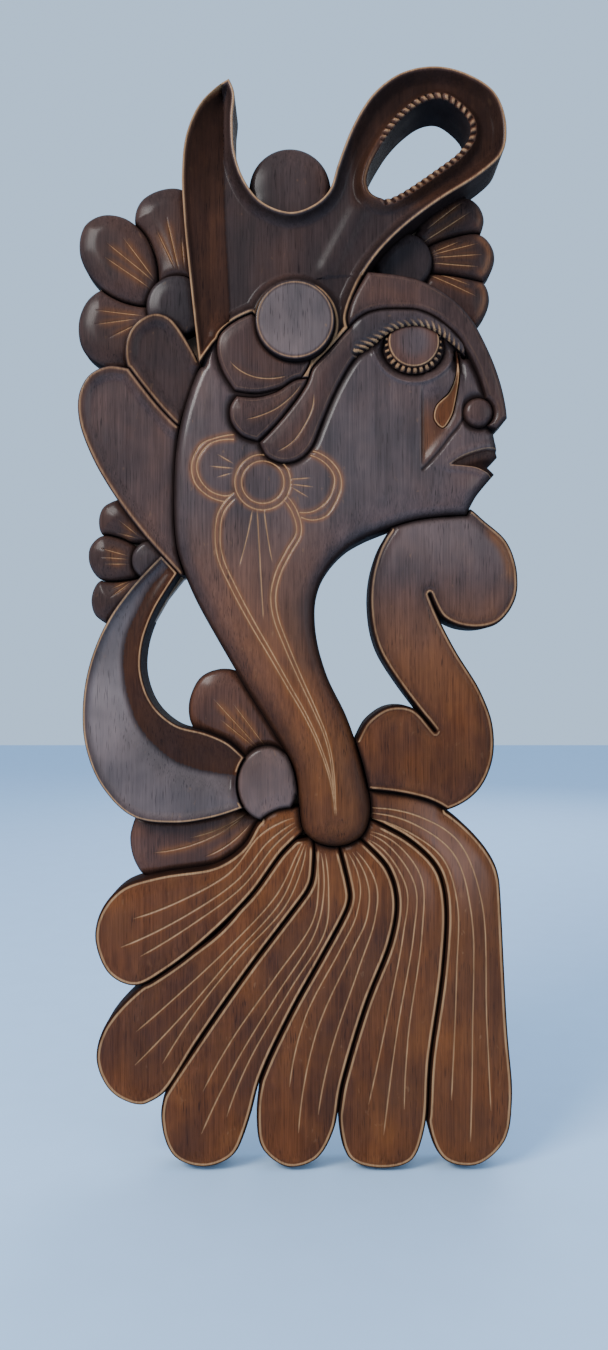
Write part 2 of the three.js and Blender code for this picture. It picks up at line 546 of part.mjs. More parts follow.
function makeHangerPlate() {
  const edge = slot(HANGER_PLATE_WIDTH / 2, plateUpperRound, plateLowerRound);
  const plate = board(edge, 0, HANGER_PLATE_THICKNESS);
  const entry = new THREE.CylinderGeometry(KEYHOLE_ENTRY_RADIUS, KEYHOLE_ENTRY_RADIUS, THROUGH, 2 * PEG_SIDES)
    .rotateX(Math.PI / 2)
    .translate(0, -KEYHOLE_DROP, 0);
  const neck = board(slot(KEYHOLE_SLOT_RADIUS, 0, -KEYHOLE_DROP), -THROUGH, THROUGH);
  place('hanger_plate', geometryOf(cutBy(plate, [solidOf(entry), neck, ...screwHoles])), STEEL);
}

function makeHangerBlock() {
  const recess = slot(HANGER_PLATE_WIDTH / 2 + SEAM_GAP, plateUpperRound, plateLowerRound);
  const nailSpace = rectangle(-nailHalfWidth, nailHalfWidth, -KEYHOLE_DROP - nailHalfWidth, nailHalfWidth);
  const block = cutBy(blockSpace(0, 0, BACKER_THICKNESS), [
    board(recess, -THROUGH, HANGER_PLATE_THICKNESS + SEAM_GAP),
    board(nailSpace, -THROUGH, THROUGH),
    ...screwHoles,
  ]);
  place('hanger_block', geometryOf(block), WOOD_PLAIN);
}

function makeHangerScrews() {
  for (const [end, z] of Object.entries(screwHeights)) {
    place(`hanger_screw_${end}`, screw(), STEEL, 0, z);
  }
}

// ---- Backer and carved pieces --------------------------------------------------------------------

const backerOutline = fitted(BACKER);
const hangerBay = blockSpace(SEAM_GAP, -THROUGH, THROUGH, OVERALL_HEIGHT);
const backing = [
  board(letOut(backerOutline, SEAM_GAP), -THROUGH, BACKER_THICKNESS + SEAM_GAP).subtract(hangerBay),
  blockSpace(SEAM_GAP, -THROUGH, BACKER_THICKNESS + SEAM_GAP),
];

function makeBacker() {
  const plain = board(backerOutline, 0, BACKER_THICKNESS);
  place('backer', geometryOf(cutBy(plain, [hangerBay, ...dowelHoles])), WOOD_PLAIN);
}

function makeCarvedPieces() {
  const inFront = [];
  for (const { name, outline, height, finish, holes } of CARVED_PIECES) {
    const edge = fitted(outline);
    const openings = holes.map((hole) => board(fitted(hole), -THROUGH, THROUGH));
    const solid = cutBy(board(edge, 0, height), [...openings, ...inFront, ...backing, ...dowelHoles]);
    place(name, geometryOf(solid), finish);
    inFront.push(board(letOut(edge, SEAM_GAP), -THROUGH, THROUGH));
  }
}

makeCarvedPieces();
makeBacker();
makeHangerBlock();
makeHangerPlate();
makeHangerScrews();
for (const { name, middle } of dowels) {
  place(name, dowelGeometry, WOOD_DOWEL, middle.x, middle.y, BACKER_THICKNESS);
}

const carving = new THREE.Group();
carving.name = 'pierced_relief_carving';
carving.add(relief);

export default carving;
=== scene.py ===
"""A carved wooden relief: a head in profile under a hollowed crest, on a long neck over a fan of petals.

Each carved piece takes its plan outline from the piece of the same name in the frame, and its face is
a height over that plan, worked out from the distances to its edges and to the lines cut into it.
Plan points are (x, z) in millimetres, and heights are millimetres in front of the wall.
"""

import math
from types import SimpleNamespace

import bpy
import numpy as np
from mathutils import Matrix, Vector, geometry


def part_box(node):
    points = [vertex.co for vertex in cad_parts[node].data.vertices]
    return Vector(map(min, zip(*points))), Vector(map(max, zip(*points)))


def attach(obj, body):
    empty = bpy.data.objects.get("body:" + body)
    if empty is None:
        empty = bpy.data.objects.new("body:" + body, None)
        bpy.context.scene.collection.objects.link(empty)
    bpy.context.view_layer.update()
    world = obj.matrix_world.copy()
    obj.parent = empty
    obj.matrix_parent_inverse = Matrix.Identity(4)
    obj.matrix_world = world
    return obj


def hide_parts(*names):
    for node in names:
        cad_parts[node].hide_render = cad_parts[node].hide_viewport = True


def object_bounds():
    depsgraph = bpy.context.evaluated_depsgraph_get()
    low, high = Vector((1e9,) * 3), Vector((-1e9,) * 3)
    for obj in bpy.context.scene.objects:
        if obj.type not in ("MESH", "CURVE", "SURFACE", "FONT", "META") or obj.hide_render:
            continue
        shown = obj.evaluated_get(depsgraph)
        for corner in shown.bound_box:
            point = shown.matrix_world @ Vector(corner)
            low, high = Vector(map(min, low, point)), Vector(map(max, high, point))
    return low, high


bl_info = {
    "name": "Carved head relief",
    "version": (1, 0, 0),
    "blender": (4, 5, 0),
    "location": "View3D > Sidebar > Carving",
    "description": "Builds the carved faces and the stained finish of a wooden head relief",
    "category": "Add Mesh",
}

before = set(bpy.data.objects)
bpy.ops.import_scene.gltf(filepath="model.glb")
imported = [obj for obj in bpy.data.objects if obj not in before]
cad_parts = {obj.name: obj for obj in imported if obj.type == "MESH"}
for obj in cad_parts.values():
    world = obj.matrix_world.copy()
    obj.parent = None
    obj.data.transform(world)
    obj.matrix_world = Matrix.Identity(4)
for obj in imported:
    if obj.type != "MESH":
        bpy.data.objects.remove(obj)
CAD_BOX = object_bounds()

MM = 0.001
MM_IN_METRE = 1000

# Air left between a carved piece and the backer it is let over.
SEAM = 0.3

# Spacing of the points of the meshes: along outlines, over faces, near teeth and along cut lines.
EDGE_STEP = 1.0
GRID_STEP = 1.05
FINE_STEP = 0.5
LINE_STEP = 0.8

# Rows of points that follow a cut line, as shares of its width, and rows inside each edge, as depths.
LINE_ROWS = (0, -0.5, 0.5, -1, 1, -1.7, 1.7)
RING_DEPTHS = (0.4, 0.9, 1.5, 2.2, 3.0, 3.8, 4.7, 5.7)

# Least gaps: between such rows, from them to the other points, from any point to an edge, and between
# neighbouring points of an outline.
ROW_GAP = 0.3
GRID_GAP = 0.55
EDGE_GAP = 0.3
OUTLINE_GAP = 0.35

# An outline's corner stays sharp above this turn, and a face shades as an arris above the other.
CORNER_DEGREES = 40
ARRIS_DEGREES = 55

# How far outside an edge its neighbour is looked for, and how much higher it stands to cover the edge.
PROBE = 1.3
PROUD = 1.0

# How far below the rim a piece's sides begin, and how dark the shade painted on them is.
BRINK = 0.9
SIDE_SHADE = 0.85

# Points taken at once where each is compared with every edge, and a factor larger than any cell number.
BLOCK_SIZE = 3000
CELL_KEY = 1_000_003
TINY = 1e-9

FLOWERS = {
    "left": ("outer", "top", "lower"),
    "right": ("middle", "top", "lower"),
    "side": ("middle", "top", "lower"),
    "low": ("upper", "lower"),
}
PETALS = [f"flower_{flower}_petal_{petal}" for flower, petals in FLOWERS.items() for petal in petals]
BOSSES = [f"flower_{flower}_boss" for flower in FLOWERS]
LEAVES = ["leaf_upper", "leaf_lower"]
TUFTS = ["tuft_upper", "tuft_middle", "tuft_lower"]
SKIRT = [f"skirt_petal_{number}" for number in range(1, 7)]
CARVED = [
    "crest", "ear_disc", "crown_ball", *TUFTS, "brow_band", "nostril", "eye", "tear", "head",
    *LEAVES, *PETALS, *BOSSES, "crescent", "scroll", *SKIRT,
]  # fmt: skip

# ---- Lines cut into the faces, as plan points ---------------------------------------------------

EYE_CENTRE = (80, -64)
EYE_DISC_RADIUS = 18
SOCKET_RADIUS = 23
LOWER_LID_RADIUS = 31

# The shortest lash, and how much longer the lowest one is.
LASH_LENGTHS = (2.6, 4.2)

# The heights over which the neck's stain turns from cool to warm begin here, and its rounding grows.
NECK_TOP = -175
NECK_WARM_TOP = -185

# The upright arris of the cheek, its ends, and the corner of the mouth.
CHEEK_X = 84.5
CHEEK_ENDS = (-108, -158)
MOUTH_X = 105.5
CHIN = (118, -171)

# Where the neck meets the skirt, and how far round it the skirt's borders stay dark.
NECK_FOOT = (22, -398)
NECK_FOOT_RADIUS = 37

LID_EDGE = [
    (37.5, -70), (43.5, -66), (50, -62.5), (56.5, -58.5), (63.5, -54), (71, -52), (79, -51),
    (86, -51), (93.5, -53), (101, -57.5), (107, -63.5), (115.5, -72),
]  # fmt: skip
NOSE_FOLD = [(118, -117), (112, -127), (106.5, -133.5), (99, -143.5), (86, -158)]
UPPER_LIP = [(105.5, -154), (114, -148.5), (122.5, -145), (131.5, -142.5), (142.5, -142)]
LOWER_LIP = [(106, -155), (116, -155.5), (126.5, -157), (137, -163)]

HORN_CREASE = [(-60, 128), (-59, 100), (-58.5, 39), (-56, -12), (-52.5, -80)]
LOOP_RIDGE = [(49.5, 41), (42, 34.5), (30, 13), (19, -7), (9, -22)]
CREST_STEP = [(8, -18), (22.5, -16), (38, -15)]
CRESCENT_CREASE = [
    (-90, -217), (-102.5, -231), (-113, -243), (-121.5, -258.5), (-129.5, -276), (-132.5, -291.5),
    (-132, -309), (-128.5, -326), (-121.5, -343.5), (-110.5, -357.5), (-95.5, -369.5),
    (-76, -376.5), (-47, -381), (-38, -382),
]  # fmt: skip

HAIR_LINES = {
    "tuft_upper": [[(-53, -80.5), (-46.5, -86.5), (-37, -91), (-26, -92.5), (-13, -90.5)]],
    "tuft_middle": [[(-2, -96.5), (-9.5, -105.5), (-20, -114), (-32, -119.5), (-42, -122)]],
    "tuft_lower": [[(7, -104), (6, -114), (0, -127), (-8, -138), (-19, -145)]],
}

CHEEK_FLOWER_CENTRE = (-30, -167)
CHEEK_FLOWER_RADII = (15.4, 20.2)
CHEEK_FLOWER_LINES = [
    [(-51.5, -132.5), (-64, -135), (-74.5, -139.5), (-80.5, -149.5), (-81.5, -159), (-78.5, -168.5),
     (-69.5, -177), (-58.5, -181)],
    [(-51.5, -136), (-68, -139), (-75.5, -147), (-78, -155.5), (-75.5, -165), (-68, -173.5),
     (-56.5, -177), (-51.5, -175)],
    [(7, -144.5), (18, -150.5), (25.5, -160), (27, -170), (23, -181.5), (16, -191.5), (6.5, -194.5),
     (-2, -192.5)],
    [(5, -147.5), (16, -154), (22, -163.5), (20.5, -173.5), (16, -181.5), (7, -188), (-3, -189)],
]  # fmt: skip
STEM_LINES = [
    [(-52, -176), (-61.5, -187.5), (-64.5, -203.5), (-62.5, -222), (-52, -246), (-40, -268.5),
     (-25.5, -293), (-11.5, -317), (0.5, -337.5), (11, -360), (19, -384.5), (22.5, -409)],
    [(-12.5, -177), (-4.5, -189.5), (-2, -203.5), (-9.5, -218), (-16.5, -232), (-20.5, -248.5),
     (-19, -264), (-11.5, -285), (-1.5, -309), (8.5, -331.5), (16, -350), (20.5, -368.5), (23, -407)],
]  # fmt: skip
STEM_LINE_PAIR = 3.6
CHEEK_RAYS = [
    [(-37.5, -187.5), (-41.5, -207.5), (-47, -228)],
    [(-34, -187.5), (-32, -223.5), (-29.5, -266.5)],
    [(-29, -187.5), (-26, -209), (-23, -225)],
    [(-62.5, -147), (-51.5, -153.5)],
    [(-68, -155.5), (-51.5, -157)],
    [(-63, -163.5), (-53, -160.5)],
    [(-11, -165), (5, -164)],
    [(-9.5, -168.5), (6.5, -170.5)],
    [(-9.5, -170.5), (3, -178)],
]

PETAL_RAYS = {
    "flower_left_petal_outer": [
        [(-146.5, 14), (-113, -13)], [(-148, 3.5), (-115, -19)], [(-134.5, 18), (-112, -11.5)],
    ],
    "flower_left_petal_top": [
        [(-110, 25), (-96, -4.5)], [(-102, 32.5), (-93, -6)], [(-91, 18), (-89, -4.5)],
    ],
    "flower_left_petal_lower": [
        [(-154.5, -36), (-120.5, -39.5)], [(-154.5, -46.5), (-125.5, -42.5)],
        [(-144, -56), (-124.5, -46.5)],
    ],
    "flower_side_petal_middle": [
        [(-150.5, -213), (-130.5, -218.5)], [(-150.5, -219.5), (-130.5, -221)],
        [(-147.5, -224.5), (-130.5, -224.5)],
    ],
    "flower_side_petal_top": [[(-137.5, -192), (-122.5, -204)], [(-139, -201), (-124, -205)]],
    "flower_side_petal_lower": [[(-143.5, -249), (-128.5, -237)], [(-144, -243), (-130, -236.5)]],
    "flower_low_petal_upper": [
        [(-67, -325), (-35.5, -359.5)], [(-61.5, -340.5), (-37, -360.5)], [(-52.5, -328.5), (-30, -358.5)],
    ],
    "flower_low_petal_lower": [
        [(-111.5, -439), (-77, -431), (-45.5, -413)], [(-84.5, -428), (-60, -420), (-41.5, -409)],
        [(-73.5, -442), (-55, -432), (-39.5, -417)],
    ],
    "flower_right_petal_middle": [
        [(129, 14), (95, 5.5)], [(132, 5.5), (96.5, 3.5)], [(129, -3), (96, 0)], [(116, 16), (94.5, 7)],
    ],
    "flower_right_petal_top": [[(123.5, 37), (89, 16)], [(117.5, 44.5), (92, 25)]],
    "flower_right_petal_lower": [[(128, -25.5), (92, -7.5)], [(123.5, -16.5), (93.5, -4)]],
}  # fmt: skip

SKIRT_LINES = {
    "skirt_petal_1": [
        [(-124.5, -485.5), (-89.5, -472), (-54, -451.5), (-33.5, -426), (-22, -417.5), (-8, -412)],
        [(-134, -506.5), (-89.5, -485), (-48.5, -457), (-26, -429), (-7, -415.5)],
        [(-119.5, -513), (-80, -488.5), (-44.5, -461.5), (-22, -432.5), (-6, -418.5)],
    ],
    "skirt_petal_2": [
        [(-122.5, -568), (-89.5, -539), (-52, -503.5), (-20, -468), (-6, -440), (-1.5, -430.5)],
        [(-123.5, -592.5), (-89.5, -557), (-52, -513), (-16.5, -472), (-4.5, -444), (0.5, -431.5)],
        [(-103.5, -591.5), (-78, -552), (-48.5, -515), (-14.5, -477.5), (-2.5, -451.5), (1.5, -433.5)],
    ],
    "skirt_petal_3": [
        [(-74, -612), (-52, -573), (-22, -530), (6, -488.5), (10.5, -465), (9, -437)],
        [(-75, -643), (-52, -595), (-22, -544.5), (8, -496), (14.5, -466), (12.5, -438)],
        [(-56.5, -630.5), (-41, -591.5), (-11, -539), (15.5, -494.5), (18, -465), (15.5, -438)],
    ],
    "skirt_petal_4": [
        [(-10.5, -608.5), (1, -558), (27, -507.5), (38.5, -483), (41, -460), (32, -437)],
        [(-4, -642), (8.5, -571), (34.5, -511), (46, -485), (47, -461), (35.5, -437)],
        [(10.5, -629), (19.5, -584), (40, -522.5), (52, -486), (53, -461), (38.5, -436.5)],
    ],
    "skirt_petal_5": [
        [(47.5, -621.5), (61.5, -556), (73, -496), (75.5, -465), (61, -438), (47, -428)],
        [(58.5, -644), (68.5, -567), (80.5, -496), (81.5, -462), (64.5, -434.5), (48.5, -424)],
        [(73.5, -625), (76.5, -571), (86.5, -496), (86, -456), (68.5, -431.5), (49.5, -422)],
    ],
    "skirt_petal_6": [
        [(108, -618.5), (112, -524), (112.5, -475), (102, -442), (78, -423), (50.5, -412.5)],
        [(122, -648.5), (123.5, -571), (122.5, -481), (109.5, -438), (80, -416), (50.5, -408.5)],
        [(137, -626), (134, -561.5), (130, -472), (113, -429), (85, -411), (50.5, -404.5)],
    ],
}  # fmt: skip


# ---- Plan curves and distances ------------------------------------------------------------------


def smooth(x):
    """The S-shaped step from 0 at x = 0 to 1 at x = 1."""
    t = np.clip(x, 0.0, 1.0)
    return t * t * (3 - 2 * t)


def bell(distance, width):
    """A bell that is 1 at distance 0 and has almost gone at twice the width."""
    return np.exp(-((distance / width) ** 2))


def round_over(distance, width):
    """A quarter ellipse: 0 at the edge, 1 from width inwards, upright where it leaves the edge."""
    t = np.clip(distance / width, 0.0, 1.0)
    return np.sqrt(1 - (1 - t) ** 2)


def resample(path, step):
    """The same path with points an equal length apart, close to step."""
    reach = np.concatenate([[0], np.cumsum(np.hypot(*np.diff(path, axis=0).T))])
    count = max(2, int(round(reach[-1] / step)) + 1)
    along = np.linspace(0, reach[-1], count)
    return np.stack([np.interp(along, reach, path[:, axis]) for axis in (0, 1)], 1)


def curve(points, step=LINE_STEP):
    """A smooth open path through the points: cubic pieces whose knots lie a root of the chord apart."""
    points = np.asarray(points, float)
    if len(points) == 2:
        return resample(points, step)
    knots = np.concatenate([[0], np.cumsum(np.sqrt(np.hypot(*np.diff(points, axis=0).T)))])
    gaps = np.diff(knots)[:, None]
    slopes = np.diff(points, axis=0) / gaps
    inner = (slopes[:-1] * gaps[1:] + slopes[1:] * gaps[:-1]) / (gaps[:-1] + gaps[1:])
    tangents = np.concatenate([2 * slopes[:1] - inner[:1], inner, 2 * slopes[-1:] - inner[-1:]])
    along = np.linspace(0, knots[-1], 16 * len(points))
    span = np.clip(np.searchsorted(knots, along, "right") - 1, 0, len(gaps) - 1)
    gap = gaps[span]
    t = ((along - knots[span])[:, None]) / gap
    path = (
        (2 * t**3 - 3 * t**2 + 1) * points[span]
        + (t**3 - 2 * t**2 + t) * gap * tangents[span]
        + (3 * t**2 - 2 * t**3) * points[span + 1]
        + (t**3 - t**2) * gap * tangents[span + 1]
    )
    return resample(path, step)


def circle(centre, radius, step=LINE_STEP):
    """A closed round path, its last point on its first."""
    turn = np.linspace(0, 2 * math.pi, int(2 * math.pi * radius / step))
    return np.asarray(centre) + radius * np.stack([np.cos(turn), np.sin(turn)], 1)


def beside(path, offset):
    """The path moved sideways by offset, to the left of its direction."""
    along = np.gradient(path, axis=0)
    along /= np.hypot(*along.T)[:, None]
    return path + offset * np.stack([-along[:, 1], along[:, 0]], 1)


def rounded_loop(loop):
    """A closed plan outline with points EDGE_STEP apart: curves between the corners, which stay sharp."""
    keep = np.hypot(*(loop - np.roll(loop, 1, 0)).T) > OUTLINE_GAP
    loop = loop[keep]
    ahead = np.roll(loop, -1, 0) - loop
    behind = np.roll(ahead, 1, 0)
    cross = behind[:, 0] * ahead[:, 1] - behind[:, 1] * ahead[:, 0]
    turn = np.degrees(np.abs(np.arctan2(cross, (behind * ahead).sum(1))))
    corners = np.flatnonzero(turn > CORNER_DEGREES)
    if len(corners) == 0:
        lap = np.concatenate([loop[-3:], loop, loop[:4]])
        path = curve(lap, EDGE_STEP)
        half = len(path) // 2
        to_start = np.hypot(*(path - loop[0]).T)
        return path[to_start[:half].argmin() : half + to_start[half:].argmin()]
    loop = np.roll(loop, -corners[0], 0)
    stops = np.append(corners - corners[0], len(loop))
    loop = np.concatenate([loop, loop[:1]])
    runs = [curve(loop[a : b + 1], EDGE_STEP)[:-1] for a, b in zip(stops[:-1], stops[1:])]
    return np.concatenate(runs)


def segments(paths, closed=False):
    """The start points, end points and running lengths of every segment of some paths."""
    starts, ends, lengths, numbers = [], [], [], []
    for number, path in enumerate(paths):
        after = np.roll(path, -1, 0) if closed else path[1:]
        before = path if closed else path[:-1]
        starts.append(before)
        ends.append(after)
        lengths.append(np.concatenate([[0], np.cumsum(np.hypot(*(after - before).T))[:-1]]))
        numbers.append(np.full(len(before), number))
    return tuple(np.concatenate(part) for part in (starts, ends, lengths, numbers))


class Nearest:
    """For each point the nearest place on some segments: distance, side (positive to the left of the
    segment's direction), running length and the number of its path."""

    def __init__(self, points, parts):
        starts, ends, lengths, numbers = parts
        count = len(points)
        self.distance = np.full(count, 1e3)
        self.side = np.ones(count)
        self.length = np.zeros(count)
        self.path = np.zeros(count, int)
        if len(starts) == 0:
            return
        middles = (starts + ends) / 2
        size = (middles**2).sum(1)
        blocks = np.array_split(points, count // BLOCK_SIZE + 1)
        close = np.concatenate([(size - 2 * block @ middles.T).argmin(1) for block in blocks])
        for shift in (-1, 0, 1):
            k = np.clip(close + shift, 0, len(starts) - 1)
            along = ends[k] - starts[k]
            away = points - starts[k]
            t = np.clip((away * along).sum(1) / np.maximum((along**2).sum(1), 1e-12), 0, 1)
            distance = np.hypot(*(away - t[:, None] * along).T)
            better = distance < self.distance - TINY
            self.distance[better] = distance[better]
            cross = along[:, 0] * away[:, 1] - along[:, 1] * away[:, 0]
            self.side[better] = np.where(cross < 0, -1.0, 1.0)[better]
            self.length[better] = (lengths[k] + t * np.hypot(*along.T))[better]
            self.path[better] = numbers[k][better]


def inside(points, loops):
    """True where a line from the point to the right crosses the loops an odd number of times."""
    result = np.zeros(len(points), bool)
    for loop in loops:
        a, b = loop, np.roll(loop, -1, 0)
        low, high = loop.min(0), loop.max(0)
        near = np.flatnonzero(((points >= low) & (points <= high)).all(1))
        rise = np.where(b[:, 1] == a[:, 1], 1e-12, b[:, 1] - a[:, 1])
        lean = (b[:, 0] - a[:, 0]) / rise
        for block in np.array_split(near, len(near) // BLOCK_SIZE + 1):
            x, z = points[block, 0, None], points[block, 1, None]
            crosses = (a[:, 1] > z) != (b[:, 1] > z)
            result[block] ^= ((crosses & (x < a[:, 0] + (z - a[:, 1]) * lean)).sum(1) % 2).astype(bool)
    return result


def face_loops(name, smallest=0.0):
    """The closed outlines of a node's flat front, counter-clockwise round wood and clockwise round a
    hole: the edges that only one of its front triangles uses, followed from end to end."""
    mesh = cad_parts[name].data
    mesh.calc_loop_triangles()
    places = np.zeros(len(mesh.vertices) * 3)
    mesh.vertices.foreach_get("co", places)
    places = np.round(places.reshape(-1, 3) / MM, 3)
    corners = np.zeros(len(mesh.loop_triangles) * 3, int)
    mesh.loop_triangles.foreach_get("vertices", corners)
    points, merged = np.unique(places, axis=0, return_inverse=True)
    triangles = merged.ravel()[corners].reshape(-1, 3)
    front = points[:, 1].min()
    triangles = triangles[(points[triangles][:, :, 1] < front + 0.01).all(1)]
    a, b, c = (points[triangles[:, k]][:, [0, 2]] for k in range(3))
    turned = (b[:, 0] - a[:, 0]) * (c[:, 1] - a[:, 1]) < (b[:, 1] - a[:, 1]) * (c[:, 0] - a[:, 0])
    triangles[turned] = triangles[turned][:, ::-1]
    follow = open_edges(triangles)
    loops = []
    for chain in chains(follow):
        loop = points[chain][:, [0, 2]]
        if abs(area(loop)) > smallest:
            loops.append(loop)
    return loops


def front_height(name):
    """How far a node's front stands from the wall plane."""
    return -MM_IN_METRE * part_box(name)[0].y


def area(loop):
    """The signed area inside a loop, positive if it runs counter-clockwise."""
    after = np.roll(loop, -1, 0)
    return 0.5 * (loop[:, 0] * after[:, 1] - loop[:, 1] * after[:, 0]).sum()


def open_edges(triangles):
    """The directed edges of some triangles that no other of them runs back along."""
    edges = np.concatenate([triangles[:, [0, 1]], triangles[:, [1, 2]], triangles[:, [2, 0]]])
    size = int(triangles.max()) + 1
    forward = edges[:, 0] * size + edges[:, 1]
    backward = edges[:, 1] * size + edges[:, 0]
    return edges[~np.isin(forward, backward)]


def has_edge(triangles, edges):
    """True for the triangles that run along one of the directed edges."""
    size = int(triangles.max()) + 1
    keys = edges[:, 0] * size + edges[:, 1]
    along = triangles * size + np.roll(triangles, -1, 1)
    return np.isin(along, keys).any(1)


def chains(edges):
    """Closed runs of point numbers, each following directed edges until it comes back."""
    after = {}
    for start, end in edges.tolist():
        after.setdefault(start, []).append(end)
    runs = []
    while after:
        start = next(iter(after))
        run, here = [], start
        while here in after:
            run.append(here)
            ends = after[here]
            step = ends.pop()
            if not ends:
                del after[here]
            here = step
        runs.append(run)
    return runs


OUTLINES = {name: [rounded_loop(loop) for loop in face_loops(name)] for name in CARVED}
HEIGHTS = {name: front_height(name) for name in CARVED}
BACKER_FACE = front_height("backer") + SEAM


def let_out(loop, amount):
    """A loop moved outwards by amount, along the bisector of its two edges at each point."""
    ahead = np.roll(loop, -1, 0) - loop
    ahead /= np.maximum(np.hypot(*ahead.T), TINY)[:, None]
    normal = np.stack([ahead[:, 1], -ahead[:, 0]], 1)
    normal = normal + np.roll(normal, 1, 0)
    return loop + 2 * amount * normal / np.maximum((normal**2).sum(1), 1.0)[:, None]


# The smallest loops kept leave out the holes for dowels and screws, in square millimetres.
BACKING = [let_out(loop, SEAM) for loop in face_loops("backer", 200)]
BLOCK = [let_out(loop, SEAM) for loop in face_loops("hanger_block", 400)]


# ---- From a plan to a closed body ---------------------------------------------------------------


def split_plan(points, edges):
    """Triangles over the points that keep the edges, counter-clockwise, and the place of each point."""
    places, _, faces, origins, _, _ = geometry.delaunay_2d_cdt(
        [Vector(point) for point in points.tolist()], edges.tolist(), [], 0, 1e-6, True
    )
    places = np.array([tuple(place) for place in places])
    faces = np.array(faces)
    a, b, c = (places[faces[:, k]] for k in range(3))
    doubled = (b[:, 0] - a[:, 0]) * (c[:, 1] - a[:, 1]) - (b[:, 1] - a[:, 1]) * (c[:, 0] - a[:, 0])
    if doubled.sum() < 0:
        faces = faces[:, ::-1]
    where = np.full(len(points), -1)
    for place, origin in enumerate(origins):
        where[origin] = place
    return places, faces, where


def loop_edges(loops):
    """Pairs of point numbers round each loop, the loops' points lying one after another."""
    pairs, first = [], 0
    for loop in loops:
        ring = np.arange(len(loop))
        pairs.append(first + np.stack([ring, np.roll(ring, -1)], 1))
        first += len(loop)
    return np.concatenate(pairs)


def cell_keys(cells):
    """One number for each square cell of the plan."""
    return cells[:, 0] * CELL_KEY + cells[:, 1]


def cells_of(points, spacing):
    """The square cell in which each point lies."""
    return np.floor(points / spacing).astype(np.int64)


def crowd_out(groups, spacing):
    """The points of all groups, with only the first of those that share a cell."""
    points = np.concatenate(groups)
    _, first = np.unique(cell_keys(cells_of(points, spacing)), return_index=True)
    return points[np.sort(first)]


def free_of(points, taken, spacing):
    """The points whose cell and the eight cells round it hold none of the taken points."""
    if len(taken) == 0:
        return points
    steps = np.stack(np.meshgrid((-1, 0, 1), (-1, 0, 1)), -1).reshape(-1, 2)
    around = (cells_of(taken, spacing)[:, None] + steps).reshape(-1, 2)
    busy = np.unique(cell_keys(around))
    return points[~np.isin(cell_keys(cells_of(points, spacing)), busy)]


def lattice(low, high, step):
    """A lattice of nearly equal triangles over a box: every other row is moved on by half a step."""
    row_share = 0.866
    x = np.arange(low[0], high[0], step)
    z = np.arange(low[1], high[1], step * row_share)
    grid = np.stack(np.meshgrid(x, z), -1)
    grid[1::2, :, 0] += step / 2
    return grid.reshape(-1, 2)


